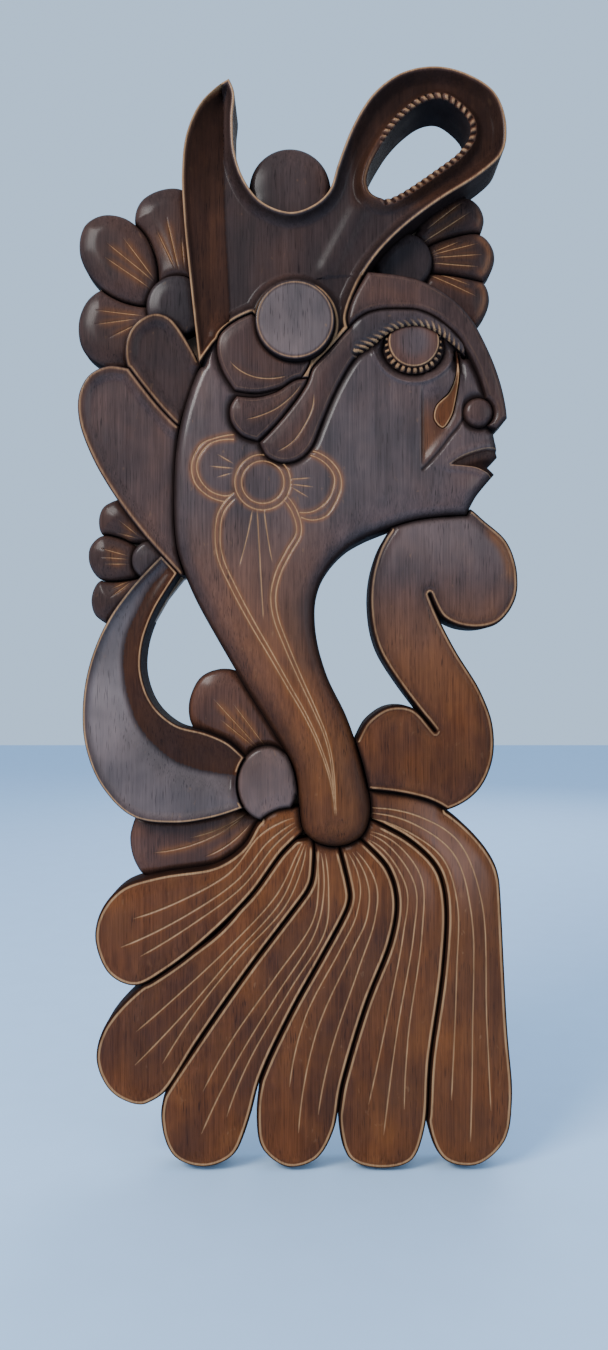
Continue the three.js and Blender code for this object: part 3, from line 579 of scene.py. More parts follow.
class Plan:
    """A piece's plan: its triangles, its front points, and how far each of them lies from the edges.

    own is the distance to the edges that stand free or proud, and under the distance to those where
    a higher neighbour, or one that is inlaid, stands. h is the height of each front point, and five
    weights from 0 to 1 tell its colour: worn where the stain is rubbed off, glow where it is thin (on
    the scroll's stem a painted highlight), deep where it is darker, mostly as painted shade in
    grooves, hollows, under edges and on slopes and in places as a darker tone of the piece, warm
    where it is reddish, and bloom where a greyish sheen of reflected light is painted. lines holds
    the paths cut into the face with their widths, and fine the paths near which the points lie closer."""

    def __init__(self, name, lines=(), fine=(), inlaid=()):
        self.name = name
        self.inlaid = inlaid
        self.top = HEIGHTS[name]
        loops = OUTLINES[name]
        shelf = [*BACKING, *BLOCK]
        every = [*loops, *shelf]
        places, faces, _ = split_plan(np.concatenate(every), loop_edges(every))
        faces = faces[inside(places[faces].mean(1), loops)]
        middle = places[faces].mean(1)
        self.back_places = places
        self.back_faces = faces
        self.on_backer = inside(middle, BACKING) | inside(middle, BLOCK)
        self.rim_edges = open_edges(faces)
        rim = np.unique(self.rim_edges)
        self.rim_places = places[rim]
        number = np.full(len(places), -1)
        number[rim] = np.arange(len(rim))
        self.rim_numbers = rim
        self.rim_pairs = number[self.rim_edges]
        self.sort_edges()
        points = self.front_points(lines, fine)
        front, front_faces, where = split_plan(np.concatenate([self.rim_places, points]), self.rim_pairs)
        self.rim_front = where[: len(rim)]
        kept = inside(front[front_faces].mean(1), loops)
        rim_pairs = self.rim_front[self.rim_pairs]
        kept = (kept | has_edge(front_faces, rim_pairs)) & ~has_edge(front_faces, rim_pairs[:, ::-1])
        self.faces = front_faces[kept]
        self.p = front
        if len(self.rim_edges) != len(open_edges(self.faces)):
            raise RuntimeError(f"{name}: its front and back don't share an edge")
        self.measure()

    def sort_edges(self):
        """Splits the rim into own and under edges by what stands just outside each edge's middle."""
        a, b = self.rim_places[self.rim_pairs[:, 0]], self.rim_places[self.rim_pairs[:, 1]]
        along = b - a
        along /= np.maximum(np.hypot(*along.T), TINY)[:, None]
        probe = (a + b) / 2 + PROBE * np.stack([along[:, 1], -along[:, 0]], 1)
        beyond = np.zeros(len(probe))
        for name, loops in OUTLINES.items():
            if name != self.name:
                height = math.inf if name in self.inlaid else HEIGHTS[name]
                beyond = np.where(inside(probe, loops), np.maximum(beyond, height), beyond)
        order = self.rim_order()
        a, b, beyond = a[order], b[order], beyond[order]
        reach = np.concatenate([[0], np.cumsum(np.hypot(*(b - a).T))[:-1]])
        none = np.zeros(len(a), int)
        hidden = beyond > self.top + PROUD
        self.own_parts = (a[~hidden], b[~hidden], reach[~hidden], none[~hidden])
        self.under_parts = (a[hidden], b[hidden], reach[hidden], none[hidden])
        self.all_parts = (a, b, reach, none)

    def rim_order(self):
        """The rim edges in the order in which they follow each other round each loop."""
        at = {tuple(pair): number for number, pair in enumerate(self.rim_pairs.tolist())}
        order = []
        for run in chains(self.rim_pairs):
            order += [at[pair] for pair in zip(run, run[1:] + run[:1]) if pair in at]
        return np.array(order)

    def front_points(self, lines, fine):
        """Points inside the rim: rows along the cut lines, rows beside the edges, then a lattice that
        is finer within reach of the paths in fine."""
        a, b = self.all_parts[0], self.all_parts[1]
        along = (b - a) / np.maximum(np.hypot(*(b - a).T), TINY)[:, None]
        inwards = np.stack([-along[:, 1], along[:, 0]], 1)
        rings = []
        for depth in RING_DEPTHS:
            ring = (a + b) / 2 + depth * inwards
            found = Nearest(ring, self.all_parts)
            rings.append(ring[found.distance > 0.96 * depth])
        rows = []
        for path, width in lines:
            rows += [beside(path, share * width) for share in LINE_ROWS]
        low, high = self.rim_places.min(0), self.rim_places.max(0)
        dense = []
        for path, reach in fine:
            spread = lattice(path.min(0) - reach, path.max(0) + reach, FINE_STEP)
            dense.append(spread[Nearest(spread, segments([path])).distance < reach])
        shaped = crowd_out([*rows, *rings], ROW_GAP)
        if dense:
            spread = free_of(np.concatenate(dense), shaped, ROW_GAP)
            shaped = np.concatenate([shaped, crowd_out([spread], ROW_GAP)])
        grid = free_of(lattice(low, high, GRID_STEP), shaped, GRID_GAP)
        points = np.concatenate([shaped, grid])
        points = points[inside(points, OUTLINES[self.name])]
        return points[Nearest(points, self.all_parts).distance > EDGE_GAP]

    def measure(self):
        """Sets the distances of every front point to the own and the under edges, a flat face, and
        the weights of the stain: none is rubbed, thin, pooled, warm or hazed yet."""
        self.own = Nearest(self.p, self.own_parts).distance
        self.under = Nearest(self.p, self.under_parts).distance
        self.x, self.z = self.p[:, 0], self.p[:, 1]
        self.h = np.full(len(self.p), float(self.top))
        for name in ("worn", "glow", "deep", "warm", "painted_sheen"):
            setattr(self, name, np.zeros(len(self.p)))

    def darken(self, amount):
        """Darkens the points to at least this amount. Most callers paint shade with it, in grooves, hollows,
        under edges and on slopes; some darken a whole piece's tone.
        """
        self.deep = np.maximum(self.deep, amount)

    def rub(self, amount):
        """Rubs the stain off to at least this amount."""
        self.worn = np.maximum(self.worn, amount)

    def thin(self, amount):
        """Thins the stain to at least this amount."""
        self.glow = np.maximum(self.glow, amount)

    def edge(self, width, depth):
        """Rounds the free edges over a quarter ellipse, and paints shade on it, darkest at its foot."""
        self.h -= depth * (1 - round_over(self.own, width))
        self.darken(0.85 * (1 - smooth(self.own / width)) ** 1.5)

    def tuck(self, width=2.4, depth=1.3, dark=0.95):
        """Sinks the face where it meets the foot of a higher neighbour, and paints the shade that the
        neighbour casts there.
        """
        self.h -= depth * bell(self.under, width)
        self.darken(dark * bell(self.under, width))

    def rim(self, at, width, strength=1.0):
        """A rubbed arris that follows the free edges at a given depth inside them."""
        clear = smooth(self.under / 2.0)
        self.rub(strength * clear * bell(self.own - at, width))

    def groove(self, paths, width, depth, worn=1.0, glow=0.0, spread=3.5, taper=6.0):
        """Cuts rounded grooves along paths, shallower over taper at both ends. Their bottoms are rubbed
        to the amount worn, and the stain is thin round them, over spread, to the amount glow."""
        found = Nearest(self.p, segments(paths))
        reach = np.array([np.hypot(*np.diff(path, axis=0).T).sum() for path in paths])[found.path]
        ends = np.minimum(found.length, reach - found.length)
        run = smooth((ends + 0.5) / taper) if taper else 1.0
        self.h -= depth * (bell(found.distance, width) * (0.35 + 0.65 * run))
        self.rub(worn * bell(found.distance, 0.8 * width) * (0.4 + 0.6 * run))
        self.thin(glow * bell(found.distance, spread) * run)


def wall_rows(pairs, top, bottom):
    """Two triangles for each directed edge, facing right of it, between two copies of its points."""
    a, b = pairs[:, 0], pairs[:, 1]
    return np.concatenate(
        [np.stack([top[a], bottom[a], bottom[b]], 1), np.stack([top[a], bottom[b], top[b]], 1)]
    )


def body(plan, material, warm_sides=0.0):
    """The closed mesh of a carved piece: the front at its worked heights, the back on the wall plane
    or rebated over the backer, and walls between them, with its weights of stain, painted shade and
    painted sheen on every point."""
    rim = plan.rim_numbers
    fronts = len(plan.p)
    count = len(plan.back_places)
    shelf = fronts + np.arange(count)
    wall = shelf + count
    brink = wall + count
    plan_points = np.concatenate([plan.p, *[plan.back_places] * 3])
    brink_height = np.zeros(count)
    brink_height[rim] = plan.h[plan.rim_front] - BRINK
    height = np.concatenate([plan.h, np.full(count, BACKER_FACE), np.zeros(count), brink_height])
    front_of = np.full(count, -1)
    front_of[rim] = plan.rim_front
    seated = plan.back_faces[plan.on_backer]
    standing = plan.back_faces[~plan.on_backer]
    parts = [
        plan.faces,
        wall_rows(plan.rim_edges, front_of, brink),
        wall_rows(plan.rim_edges, brink, shelf),
        shelf[seated][:, ::-1],
    ]
    if len(standing):
        parts += [wall_rows(open_edges(standing), shelf, wall), wall[standing][:, ::-1]]
    faces = np.concatenate(parts)
    used, faces = np.unique(faces, return_inverse=True)
    faces = faces.reshape(-1, 3)
    # The sides are painted dark as shade, with no rubbed wood, thin stain or painted sheen.
    sides = {"worn": 0, "glow": 0, "painted_sheen": 0, "deep": SIDE_SHADE, "warm": warm_sides}
    weights = {
        name: np.concatenate([getattr(plan, name), np.full(3 * count, value)])
        for name, value in sides.items()
    }
    points = np.stack([plan_points[:, 0], -height, plan_points[:, 1]], 1)[used] * MM
    mesh = bpy.data.meshes.new(f"carved_{plan.name}")
    mesh.vertices.add(len(points))
    mesh.vertices.foreach_set("co", points.ravel())
    mesh.loops.add(faces.size)
    mesh.loops.foreach_set("vertex_index", faces.ravel().astype(np.int32))
    mesh.polygons.add(len(faces))
    mesh.polygons.foreach_set("loop_start", np.arange(0, faces.size, 3, dtype=np.int32))
    mesh.update(calc_edges=True)
    if mesh.validate():
        raise RuntimeError(f"{plan.name}: its mesh needed repair")
    for name, values in weights.items():
        layer = mesh.attributes.new(name, "FLOAT", "POINT")
        layer.data.foreach_set("value", np.clip(values[used], 0, 1).astype(np.float32))
    mesh.polygons.foreach_set("use_smooth", np.ones(len(faces), bool))
    mesh.set_sharp_from_angle(angle=math.radians(ARRIS_DEGREES))
    mesh.materials.append(material)
    piece = bpy.data.objects.new(f"carved_{plan.name}", mesh)
    bpy.context.scene.collection.objects.link(piece)
    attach(piece, "root")
    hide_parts(plan.name)
    return piece


# ---- Shader maths -------------------------------------------------------------------------------


class Value:
    """A number socket with arithmetic: each operator adds the Math node that works it out."""

    def __init__(self, paint, socket):
        self.paint = paint
        self.socket = socket

    def math(self, operation, *others):
        """The result of a Math node on this number and the others, each a number or a Value."""
        values = [self.socket, *(getattr(other, "socket", other) for other in others)]
        node = self.paint.node("ShaderNodeMath", {"operation": operation}, dict(enumerate(values)))
        return Value(self.paint, node.outputs[0])

    def __add__(self, other):
        return self.math("ADD", other)

    def __sub__(self, other):
        return self.math("SUBTRACT", other)

    def __rsub__(self, other):
        return (self * -1).math("ADD", other)

    def __mul__(self, other):
        return self.math("MULTIPLY", other)

    __radd__ = __add__
    __rmul__ = __mul__

    def step(self, low, high):
        """A smooth step from 0 at low to 1 at high."""
        node = self.paint.node(
            "ShaderNodeMapRange",
            {"interpolation_type": "SMOOTHSTEP"},
            {"Value": self.socket, "From Min": low, "From Max": high},
        )
        return Value(self.paint, node.outputs[0])

    def clamped(self):
        """The same number, held between 0 and 1."""
        node = self.paint.node("ShaderNodeClamp", {}, {"Value": self.socket})
        return Value(self.paint, node.outputs[0])


class Paint:
    """A material under construction."""

    def __init__(self, name):
        self.material = bpy.data.materials.new(name)
        self.material.use_nodes = True
        self.tree = self.material.node_tree
        self.shader = self.tree.nodes["Principled BSDF"]
        self.place = self.node("ShaderNodeTexCoord", {}, {}).outputs["Object"]

    def node(self, kind, settings, inputs):
        """Adds a node: its settings first, then the values or links of its sockets."""
        node = self.tree.nodes.new(kind)
        for name, value in settings.items():
            setattr(node, name, value)
        for name, value in inputs.items():
            value = getattr(value, "socket", value)
            if isinstance(value, bpy.types.NodeSocket):
                self.tree.links.new(value, node.inputs[name])
            else:
                node.inputs[name].default_value = value
        return node

    def stretched(self, scale):
        """Object coordinates multiplied by three scales, in repeats per metre."""
        node = self.node("ShaderNodeVectorMath", {"operation": "MULTIPLY"}, {0: self.place, 1: scale})
        return node.outputs[0]

    def noise(self, scale, detail=2.0, roughness=0.5, distortion=0.0, shift=0.0):
        """Cloudy noise from 0 to 1 over the stretched coordinates, moved on by shift."""
        place = self.node(
            "ShaderNodeVectorMath", {"operation": "ADD"}, {0: self.stretched(scale), 1: (shift,) * 3}
        ).outputs[0]
        values = {"Vector": place, "Scale": 1.0, "Detail": detail, "Roughness": roughness}
        node = self.node("ShaderNodeTexNoise", {}, {**values, "Distortion": distortion})
        return Value(self, node.outputs[0])

    def weight(self, name):
        """A stain weight kept on the mesh's points."""
        node = self.node("ShaderNodeAttribute", {"attribute_name": name}, {})
        return Value(self, node.outputs["Fac"])

    def mix(self, amount, first, second, blend="MIX"):
        """A blend of two colours, each a linear colour or a socket."""
        node = self.node("ShaderNodeMix", {"data_type": "RGBA", "blend_type": blend}, {0: amount})
        for index, colour in ((6, first), (7, second)):
            if isinstance(colour, bpy.types.NodeSocket):
                self.tree.links.new(colour, node.inputs[index])
            else:
                node.inputs[index].default_value = (*colour, 1)
        return node.outputs[2]

    def grey(self, value):
        """A number as a grey colour."""
        node = self.node("ShaderNodeCombineColor", {}, {0: value, 1: value, 2: value})
        return node.outputs[0]

    def bump(self, height, distance, strength=1.0):
        """A normal bent by a height, whose full range stands for the distance in metres."""
        node = self.node(
            "ShaderNodeBump", {}, {"Height": height, "Distance": distance, "Strength": strength}
        )
        return node.outputs[0]

    def finish(self, colour, roughness, normal=None, coat=None, **constants):
        """Joins the worked colour, roughness, normal and coat to the shader and sets its constants."""
        links = {"Base Color": colour, "Roughness": roughness, "Normal": normal, "Coat Weight": coat}
        for name, value in links.items():
            value = getattr(value, "socket", value)
            if isinstance(value, bpy.types.NodeSocket):
                self.tree.links.new(value, self.shader.inputs[name])
            elif value is not None:
                self.shader.inputs[name].default_value = value
        for name, value in constants.items():
            self.shader.inputs[name.replace("_", " ").title().replace("Ior", "IOR")].default_value = value
        return self.material


def stained_wood(name, finish):
    """Close-grained wood under a dark stain and a satin lacquer.

    The weights of each point choose between the cool stain of the upper part and the warm one of the
    skirt, paint shade into the sunk places and onto the sides and darken some pieces all over, lay a
    painted sheen of reflected light on some open faces, and rub the arrises and the cut lines back to
    light wood. Upright streaks and short dark pores run through all of it."""
    paint = Paint(name)
    streak = paint.noise((620, 620, 13), detail=3, roughness=0.6, distortion=0.4)
    fibre = paint.noise((1700, 1700, 34), detail=2, roughness=0.6, distortion=0.2, shift=3.1)
    figure = paint.noise((60, 60, 7), detail=2, roughness=0.5, distortion=0.8, shift=7.7)
    cloud = paint.noise((22, 22, 16), detail=3, roughness=0.55, shift=11.3)
    smear = paint.noise((70, 70, 45), detail=3, roughness=0.6, shift=17.9)
    pores = paint.noise((1250, 1250, 80), detail=1, roughness=0.4, shift=23.3).step(0.60, 0.72)
    rows = paint.noise((60, 60, 12), detail=2, roughness=0.5, shift=29.9).step(0.35, 0.65)
    pore = pores * (rows * 0.75 + 0.25)
    grain = (streak * 0.42 + fibre * 0.34 + figure * 0.24).step(0.30, 0.70)
    warm = (paint.weight("warm") + (cloud - 0.5) * 0.5).clamped()
    cool_wood = paint.mix(grain, finish.cool_dark, finish.cool_light)
    warm_wood = paint.mix(grain, finish.warm_dark, finish.warm_light)
    colour = paint.mix(warm, cool_wood, warm_wood)
    patch = paint.noise((38, 38, 24), detail=3, roughness=0.6, distortion=0.3, shift=41.3).step(0.40, 0.68)
    colour = paint.mix(patch * warm * 0.22, colour, finish.halo)
    # Painted sheen: a greyish haze of reflected light laid into the colour of some open faces.
    painted_sheen = (paint.weight("painted_sheen") * (0.5 + 1.0 * cloud)).clamped()
    colour = paint.mix(painted_sheen, colour, finish.painted_sheen)
    colour = paint.mix(1.0, colour, paint.grey(0.76 + 0.48 * cloud.step(0.3, 0.7)), "MULTIPLY")
    glow = (paint.weight("glow") * (0.55 + 0.6 * grain)).clamped()
    colour = paint.mix(glow, colour, finish.halo)
    scuff = paint.noise((240, 240, 130), detail=2, roughness=0.5, distortion=0.3, shift=53.9).step(0.66, 0.76)
    colour = paint.mix(scuff * patch * 0.35, colour, finish.worn_dark)
    # Painted shade: grooves, hollows, sides and the feet of edges go towards near-black; the same weight
    # darkens some whole pieces' tone.
    deep = (paint.weight("deep") * (0.85 + 0.3 * smear)).clamped()
    colour = paint.mix(deep, colour, finish.deep)
    worn = (paint.weight("worn") * (0.45 + 1.0 * smear)).step(0.12, 0.72)
    rubbed = paint.mix(grain, finish.worn_dark, finish.worn_light)
    colour = paint.mix(worn * 0.92, colour, rubbed)
    colour = paint.mix(pore * (0.62 - 0.3 * worn), colour, finish.deep)
    rough = 0.33 + 0.16 * cloud + 0.1 * grain + 0.14 * worn + 0.2 * pore + 0.35 * deep
    coat = (0.22 + 0.4 * smear) * (1 - 1.2 * deep) * (1 - 0.8 * worn) * (1 - 0.55 * warm)
    height = streak * 0.3 + fibre * 0.25 - pore * 0.7 + smear * 0.6
    return paint.finish(
        colour,
        rough.clamped(),
        paint.bump(height, 0.0002, 0.35),
        coat=coat.clamped(),
        specular_ior_level=0.03,
        coat_roughness=0.22,
    )


def plain_wood(name, light, dark, roughness=0.6):
    """Unstained wood of the backer, the block and the dowels: sanded, matt, upright grain."""
    paint = Paint(name)
    streak = paint.noise((190, 190, 5), detail=4, roughness=0.6, distortion=0.7)
    fibre = paint.noise((900, 900, 20), detail=2, roughness=0.6, distortion=0.2, shift=3.1)
    cloud = paint.noise((14, 14, 9), detail=3, roughness=0.5, shift=11.3)
    pore = paint.noise((900, 900, 50), detail=1, roughness=0.4, shift=23.3).step(0.66, 0.75)
    grain = (streak * 0.65 + fibre * 0.35).step(0.38, 0.62)
    colour = paint.mix(grain, dark, light)
    colour = paint.mix(1.0, colour, paint.grey(0.78 + 0.44 * cloud), "MULTIPLY")
    colour = paint.mix(pore * 0.6, colour, tuple(0.35 * part for part in dark))
    rough = roughness + 0.15 * cloud + 0.1 * pore
    height = streak * 0.4 + fibre * 0.4 - pore
    return paint.finish(colour, rough.clamped(), paint.bump(height, 0.0002, 0.45), specular_ior_level=0.35)


def plated_steel(name, tint):
    """Zinc-plated steel with a rolled grain, dull patches and fine rubbing marks."""
    paint = Paint(name)
    rolled = paint.noise((1500, 1500, 60), detail=2, roughness=0.6)
    patch = paint.noise((90, 90, 90), detail=3, roughness=0.6, shift=5.5)
    colour = paint.mix(patch.step(0.35, 0.7), tint, tuple(0.62 * part for part in tint))
    rough = 0.3 + 0.25 * patch + 0.12 * rolled
    height = rolled * 0.6 + patch * 0.4
    return paint.finish(colour, rough.clamped(), paint.bump(height, 0.0001, 0.4), metallic=0.95)


# ---- Sizes and colours a user would change ------------------------------------------------------


def length_of(name, description, default, low, high):
    """A length property, given here in millimetres and kept in metres."""
    return bpy.props.FloatProperty(
        name=name,
        description=description,
        default=default * MM,
        min=low * MM,
        max=high * MM,
        subtype="DISTANCE",
        unit="LENGTH",
    )


def colour_of(name, description, default):
    """A colour property."""
    return bpy.props.FloatVectorProperty(
        name=name, description=description, subtype="COLOR", size=3, min=0, max=1, default=default
    )


class CarvingSizes(bpy.types.PropertyGroup):
    """Depths and widths of the carving."""

    line_width: length_of("Line half-width", "Half the width of a cut line", 0.62, 0.3, 2)
    line_depth: length_of("Line depth", "How deep the cut lines go", 0.6, 0.1, 2)
    crest_depth: length_of("Crest hollow", "How far the crest is hollowed below its rim", 9.0, 1, 20)
    head_edge: length_of("Head edge", "Width of the rounding round the head and neck", 8.0, 1, 15)
    skirt_edge: length_of("Skirt edge", "Width of the slope round each skirt petal", 2.0, 1, 6)
    skirt_border: length_of("Skirt border", "How far inside its edge a skirt petal's line runs", 2.6, 2, 8)
    petal_dome: length_of("Petal dome", "How much the flower petals swell", 4.5, 0, 10)
    leaf_dish: length_of("Leaf dish", "How far the leaves are dished", 3.0, 0, 8)
    lid_tooth: length_of("Lid tooth", "Length of one tooth of the upper lid along its edge", 4.9, 2, 12)
    lip_tooth: length_of("Loop tooth", "Length of one tooth round the loop's hole", 5.0, 2, 10)
    lashes: bpy.props.IntProperty(name="Lashes", description="Teeth in a full turn round the eye", default=29)


class CarvingFinish(bpy.types.PropertyGroup):
    """Colours of the stain, of the rubbed arrises, of the painted shade and sheen, and of the hidden wood."""

    # The cool stain's greyish tone is partly the wood's stain and partly a painted sheen of reflected light.
    cool_dark: colour_of("Cool stain, dark grain", "Dark grain of the upper pieces", (0.034, 0.0225, 0.0215))
    cool_light: colour_of("Cool stain, light grain", "Light grain of the upper pieces", (0.076, 0.053, 0.051))
    warm_dark: colour_of("Warm stain, dark grain", "Dark grain of the skirt", (0.052, 0.0145, 0.0048))
    warm_light: colour_of("Warm stain, light grain", "Light grain of the skirt", (0.132, 0.040, 0.0125))
    # Also the colour of the painted highlight on the scroll's stem.
    halo: colour_of("Thin stain", "Stain rubbed thin round the cut lines", (0.210, 0.070, 0.018))
    worn_dark: colour_of("Rubbed wood, dark grain", "Dark grain of rubbed arrises", (0.23, 0.112, 0.050))
    worn_light: colour_of("Rubbed wood, light grain", "Light grain of rubbed arrises", (0.44, 0.240, 0.115))
    # The colour of the painted sheen, greyish reflected light on some open faces.
    painted_sheen: colour_of("Wax bloom", "Greyish haze on the open faces", (0.225, 0.168, 0.152))
    # The near-black of the painted shade in grooves, hollows and on the sides; it also colours the pores and
    # darkens some pieces' tone.
    deep: colour_of("Pooled stain", "Stain in the grooves and on the sides", (0.0075, 0.004, 0.0034))
    backer: colour_of("Backer wood", "The board behind the carving", (0.25, 0.145, 0.080))
    dowel: colour_of("Dowel wood", "The pegs", (0.52, 0.36, 0.22))
    steel: colour_of("Steel", "The hanger plate and its screws", (0.62, 0.63, 0.65))
    floor: colour_of("Floor", "The floor and the air round the carving", (0.50, 0.70, 0.95))


def sizes():
    """The sizes set in the panel, with their lengths in millimetres."""
    group = bpy.context.scene.carving_sizes
    names = [name for name in CarvingSizes.__annotations__ if name != "lashes"]
    return SimpleNamespace(lashes=group.lashes, **{name: getattr(group, name) / MM for name in names})


def stain(slot):
    """The stained finish of a slot, made once."""
    return bpy.data.materials.get(slot) or stained_wood(slot, bpy.context.scene.carving_finish)


DARK = "stained_wood_dark_finish"
WARM = "stained_wood_warm_finish"


def dark_piece(plan, warm_sides=0.0):
    """The closed mesh of a piece that wears the dark stain."""
    return body(plan, stain(DARK), warm_sides)


def teeth(length, pitch, across, slant):
    """A saw profile from 0 to 1 along a path: it rises slowly over a pitch and drops at once, and its
    teeth lean by slant for each unit across the path."""
    phase = (length + slant * across) / pitch
    part = phase - np.floor(phase)
    return np.where(part < 0.72, smooth(part / 0.5), 1 - smooth((part - 0.72) / 0.2))


# ---- The pieces ---------------------------------------------------------------------------------


def make_crest():
    """The crest's rim stands at full height. Inside it the wood falls into a cove; left of the horn's
    crease the cove runs right across, and from the loop's hole a ridge runs down to the ear. The
    hole's lip rises again and is cut into teeth."""
    size = sizes()
    crease, ridge = curve(HORN_CREASE), curve(LOOP_RIDGE)
    by_size = sorted(OUTLINES["crest"], key=lambda loop: abs(area(loop)))
    hole, outline = by_size[0], by_size[-1]
    lip = np.concatenate([hole, hole[:1]])
    plan = Plan("crest", [(crease, 1.2), (ridge, 1.2)], [(lip, 6.5)])
    x, z = plan.x, plan.z
    at_lip = Nearest(plan.p, segments([lip]))
    to_rim = Nearest(plan.p, segments([outline], True)).distance
    to_crease = Nearest(plan.p, segments([crease])).distance
    to_ridge = Nearest(plan.p, segments([ridge]))
    left = np.where(x < np.interp(z, crease[::-1, 1], crease[::-1, 0]), 1.0, 0.0)
    rim_gap = np.maximum(to_rim - 1.3, 0)
    lip_gap = np.maximum(at_lip.distance - 3.0, 0)

    depth = size.crest_depth
    share = to_rim / np.maximum(to_rim + to_crease, 0.1)
    band = depth * np.sin(0.5 * math.pi * np.clip(share, 0, 1)) ** 0.8
    cove = depth * (smooth(rim_gap / 9) * smooth((lip_gap + 0.5) / 8)) ** 0.8
    floor = cove * (1 - 0.22 * smooth(to_crease / 34))
    along = smooth(to_ridge.length / 14) * smooth((78 - to_ridge.length) / 20)
    floor -= 0.30 * depth * bell(to_ridge.distance, 8.0) * along * smooth(rim_gap / 7)
    plan.h -= np.where(left > 0.5, band, floor) * smooth((to_rim - 0.6) / 2.0)
    below_step = np.where(z < np.interp(x, *np.array(CREST_STEP).T), 1.0, 0.0)
    plan.h -= 1.0 * below_step * smooth((x - 6) / 3) * smooth((38 - x) / 3) * smooth(rim_gap / 4)
    plan.h -= 0.8 * (1 - round_over(plan.own, 0.9))

    near_lip = smooth((6.0 - at_lip.distance) / 1.5)
    tooth = teeth(at_lip.length, size.lip_tooth, at_lip.distance, 0.35)
    toothed = near_lip * smooth((x - 52) / 8)
    plan.h -= toothed * smooth((4.6 - at_lip.distance) / 1.0) * (1.7 * (1 - tooth) + 0.5)
    plan.h = np.minimum(plan.h, plan.top)
    plan.tuck(width=3.0, depth=1.5)

    # Painted shade: the hollow inside the rim is darker all over, most of all on its wall below the rim, in
    # the loop's cove, left of the horn's crease and along the crease.
    wall = smooth(rim_gap / 1.5) * (1 - smooth((rim_gap - 1.5) / 5.5))
    plan.darken(0.52 * smooth(rim_gap / 2) + 0.30 * wall)
    in_loop = smooth((z - 20) / 25) * smooth((x - 25) / 15)
    plan.darken(in_loop * 0.8 * smooth(rim_gap / 3) * smooth(lip_gap / 2))
    plan.darken(left * (0.62 + 0.25 * smooth((z - 10) / 90)) * smooth(rim_gap / 2))
    plan.darken(0.8 * bell(to_crease, 2.5))
    plan.warm = np.maximum(0.5 * left + 0.2, 0.6 * in_loop)
    clear = smooth(plan.under / 2)
    plan.worn = 0.8 * bell(to_rim - 0.9, 0.75) * clear
    strap = smooth((-5 - z) / 20) * smooth((x - 5) / 6)
    plan.rub(0.7 * strap * bell(to_rim - 1.6, 1.2) * clear)
    plan.rub(0.62 * toothed * tooth**2 * bell(at_lip.distance - 1.9, 2.4))
    # A light line along the plain left part of the lip: a painted highlight on its ridge.
    plain_lip = (1 - smooth((x - 50) / 8)) * near_lip
    plan.rub(0.35 * plain_lip * bell(at_lip.distance - 1.5, 1.2))
    # Painted shade in the gaps between the lip's teeth.
    between = np.maximum(plan.deep, 0.85 * (1 - tooth)) * (1 - 0.8 * tooth)
    plan.deep = np.where(toothed * bell(at_lip.distance - 1.5, 2.4) > 0.3, between, plan.deep)
    plan.glow = 0.25 * bell(at_lip.distance - 5.0, 2.5) * (1 - toothed * 0.3)
    return dark_piece(plan, warm_sides=0.2)


def make_ear_disc():
    """A flat disc with a soft arris, rubbed light just inside its edge."""
    plan = Plan("ear_disc")
    plan.edge(width=1.4, depth=1.4)
    plan.h -= 0.3 * bell(plan.own - 2.6, 0.8)
    plan.rim(at=1.7, width=0.6, strength=0.6)
    plan.warm[:] = 0.12
    # Painted sheen over the disc's open face.
    plan.painted_sheen = 0.24 * smooth((plan.own - 2.5) / 1.5)
    return dark_piece(plan)


def make_crown_ball():
    """A swelling disc: an elliptic dome that meets its sides in a round edge."""
    plan = Plan("crown_ball")
    plan.edge(width=4.5, depth=5.5)
    plan.h -= 3.5 * (1 - np.sin(0.5 * math.pi * np.clip(plan.own / 22, 0, 1)))
    plan.tuck()
    plan.darken(0.38)
    plan.warm[:] = 0.2
    return dark_piece(plan)


def make_tuft(name):
    """A lock of hair: a rounded ridge with a rubbed arris and a line that follows its sweep. The
    lowest runs on as the upper lid, whose edge is cut into slanted teeth."""
    size = sizes()
    paths = [curve(points) for points in HAIR_LINES[name]]
    lid = curve(LID_EDGE)
    fine = [(lid, 7.0)] if name == "tuft_lower" else []
    plan = Plan(name, [(path, size.line_width) for path in paths], fine)
    plan.edge(width=3.2, depth=3.4)
    plan.h -= 1.6 * (1 - smooth(plan.own / 11))
    plan.tuck(width=2.0, depth=1.0)
    plan.rim(at=3.0, width=0.7, strength=0.28)
    plan.groove(paths, width=size.line_width, depth=size.line_depth, worn=0.7, glow=0.2)
    plan.darken(0.3)
    plan.warm[:] = 0.3
    if name == "tuft_lower":
        found = Nearest(plan.p, segments([lid]))
        on_lid = smooth((plan.x - 33) / 4) * smooth((118 - plan.x) / 3)
        below = -found.side * found.distance
        saw = teeth(found.length, size.lid_tooth, below, -1.1)
        close = smooth((below + 4.0) / 3.0) * smooth((7.0 - below) / 1.0) * on_lid
        low = smooth((below + 0.5) / 4.0)
        plan.h -= close * (0.5 + 1.1 * low) * (1 - saw)
        bare = plan.worn * (1 - 0.8 * on_lid)
        plan.worn = np.where(close > 0.1, close * saw**2 * (0.3 + 0.65 * bell(below - 2.6, 2.4)), bare)
        # Painted shade in the gaps between the lid's teeth and beneath them.
        gullet = np.maximum(0.3, close * (0.3 + 0.6 * low) * (1 - saw))
        plan.deep = np.where(close > 0.1, gullet, plan.deep)
        plan.warm *= 1 - 0.7 * on_lid
    return dark_piece(plan)


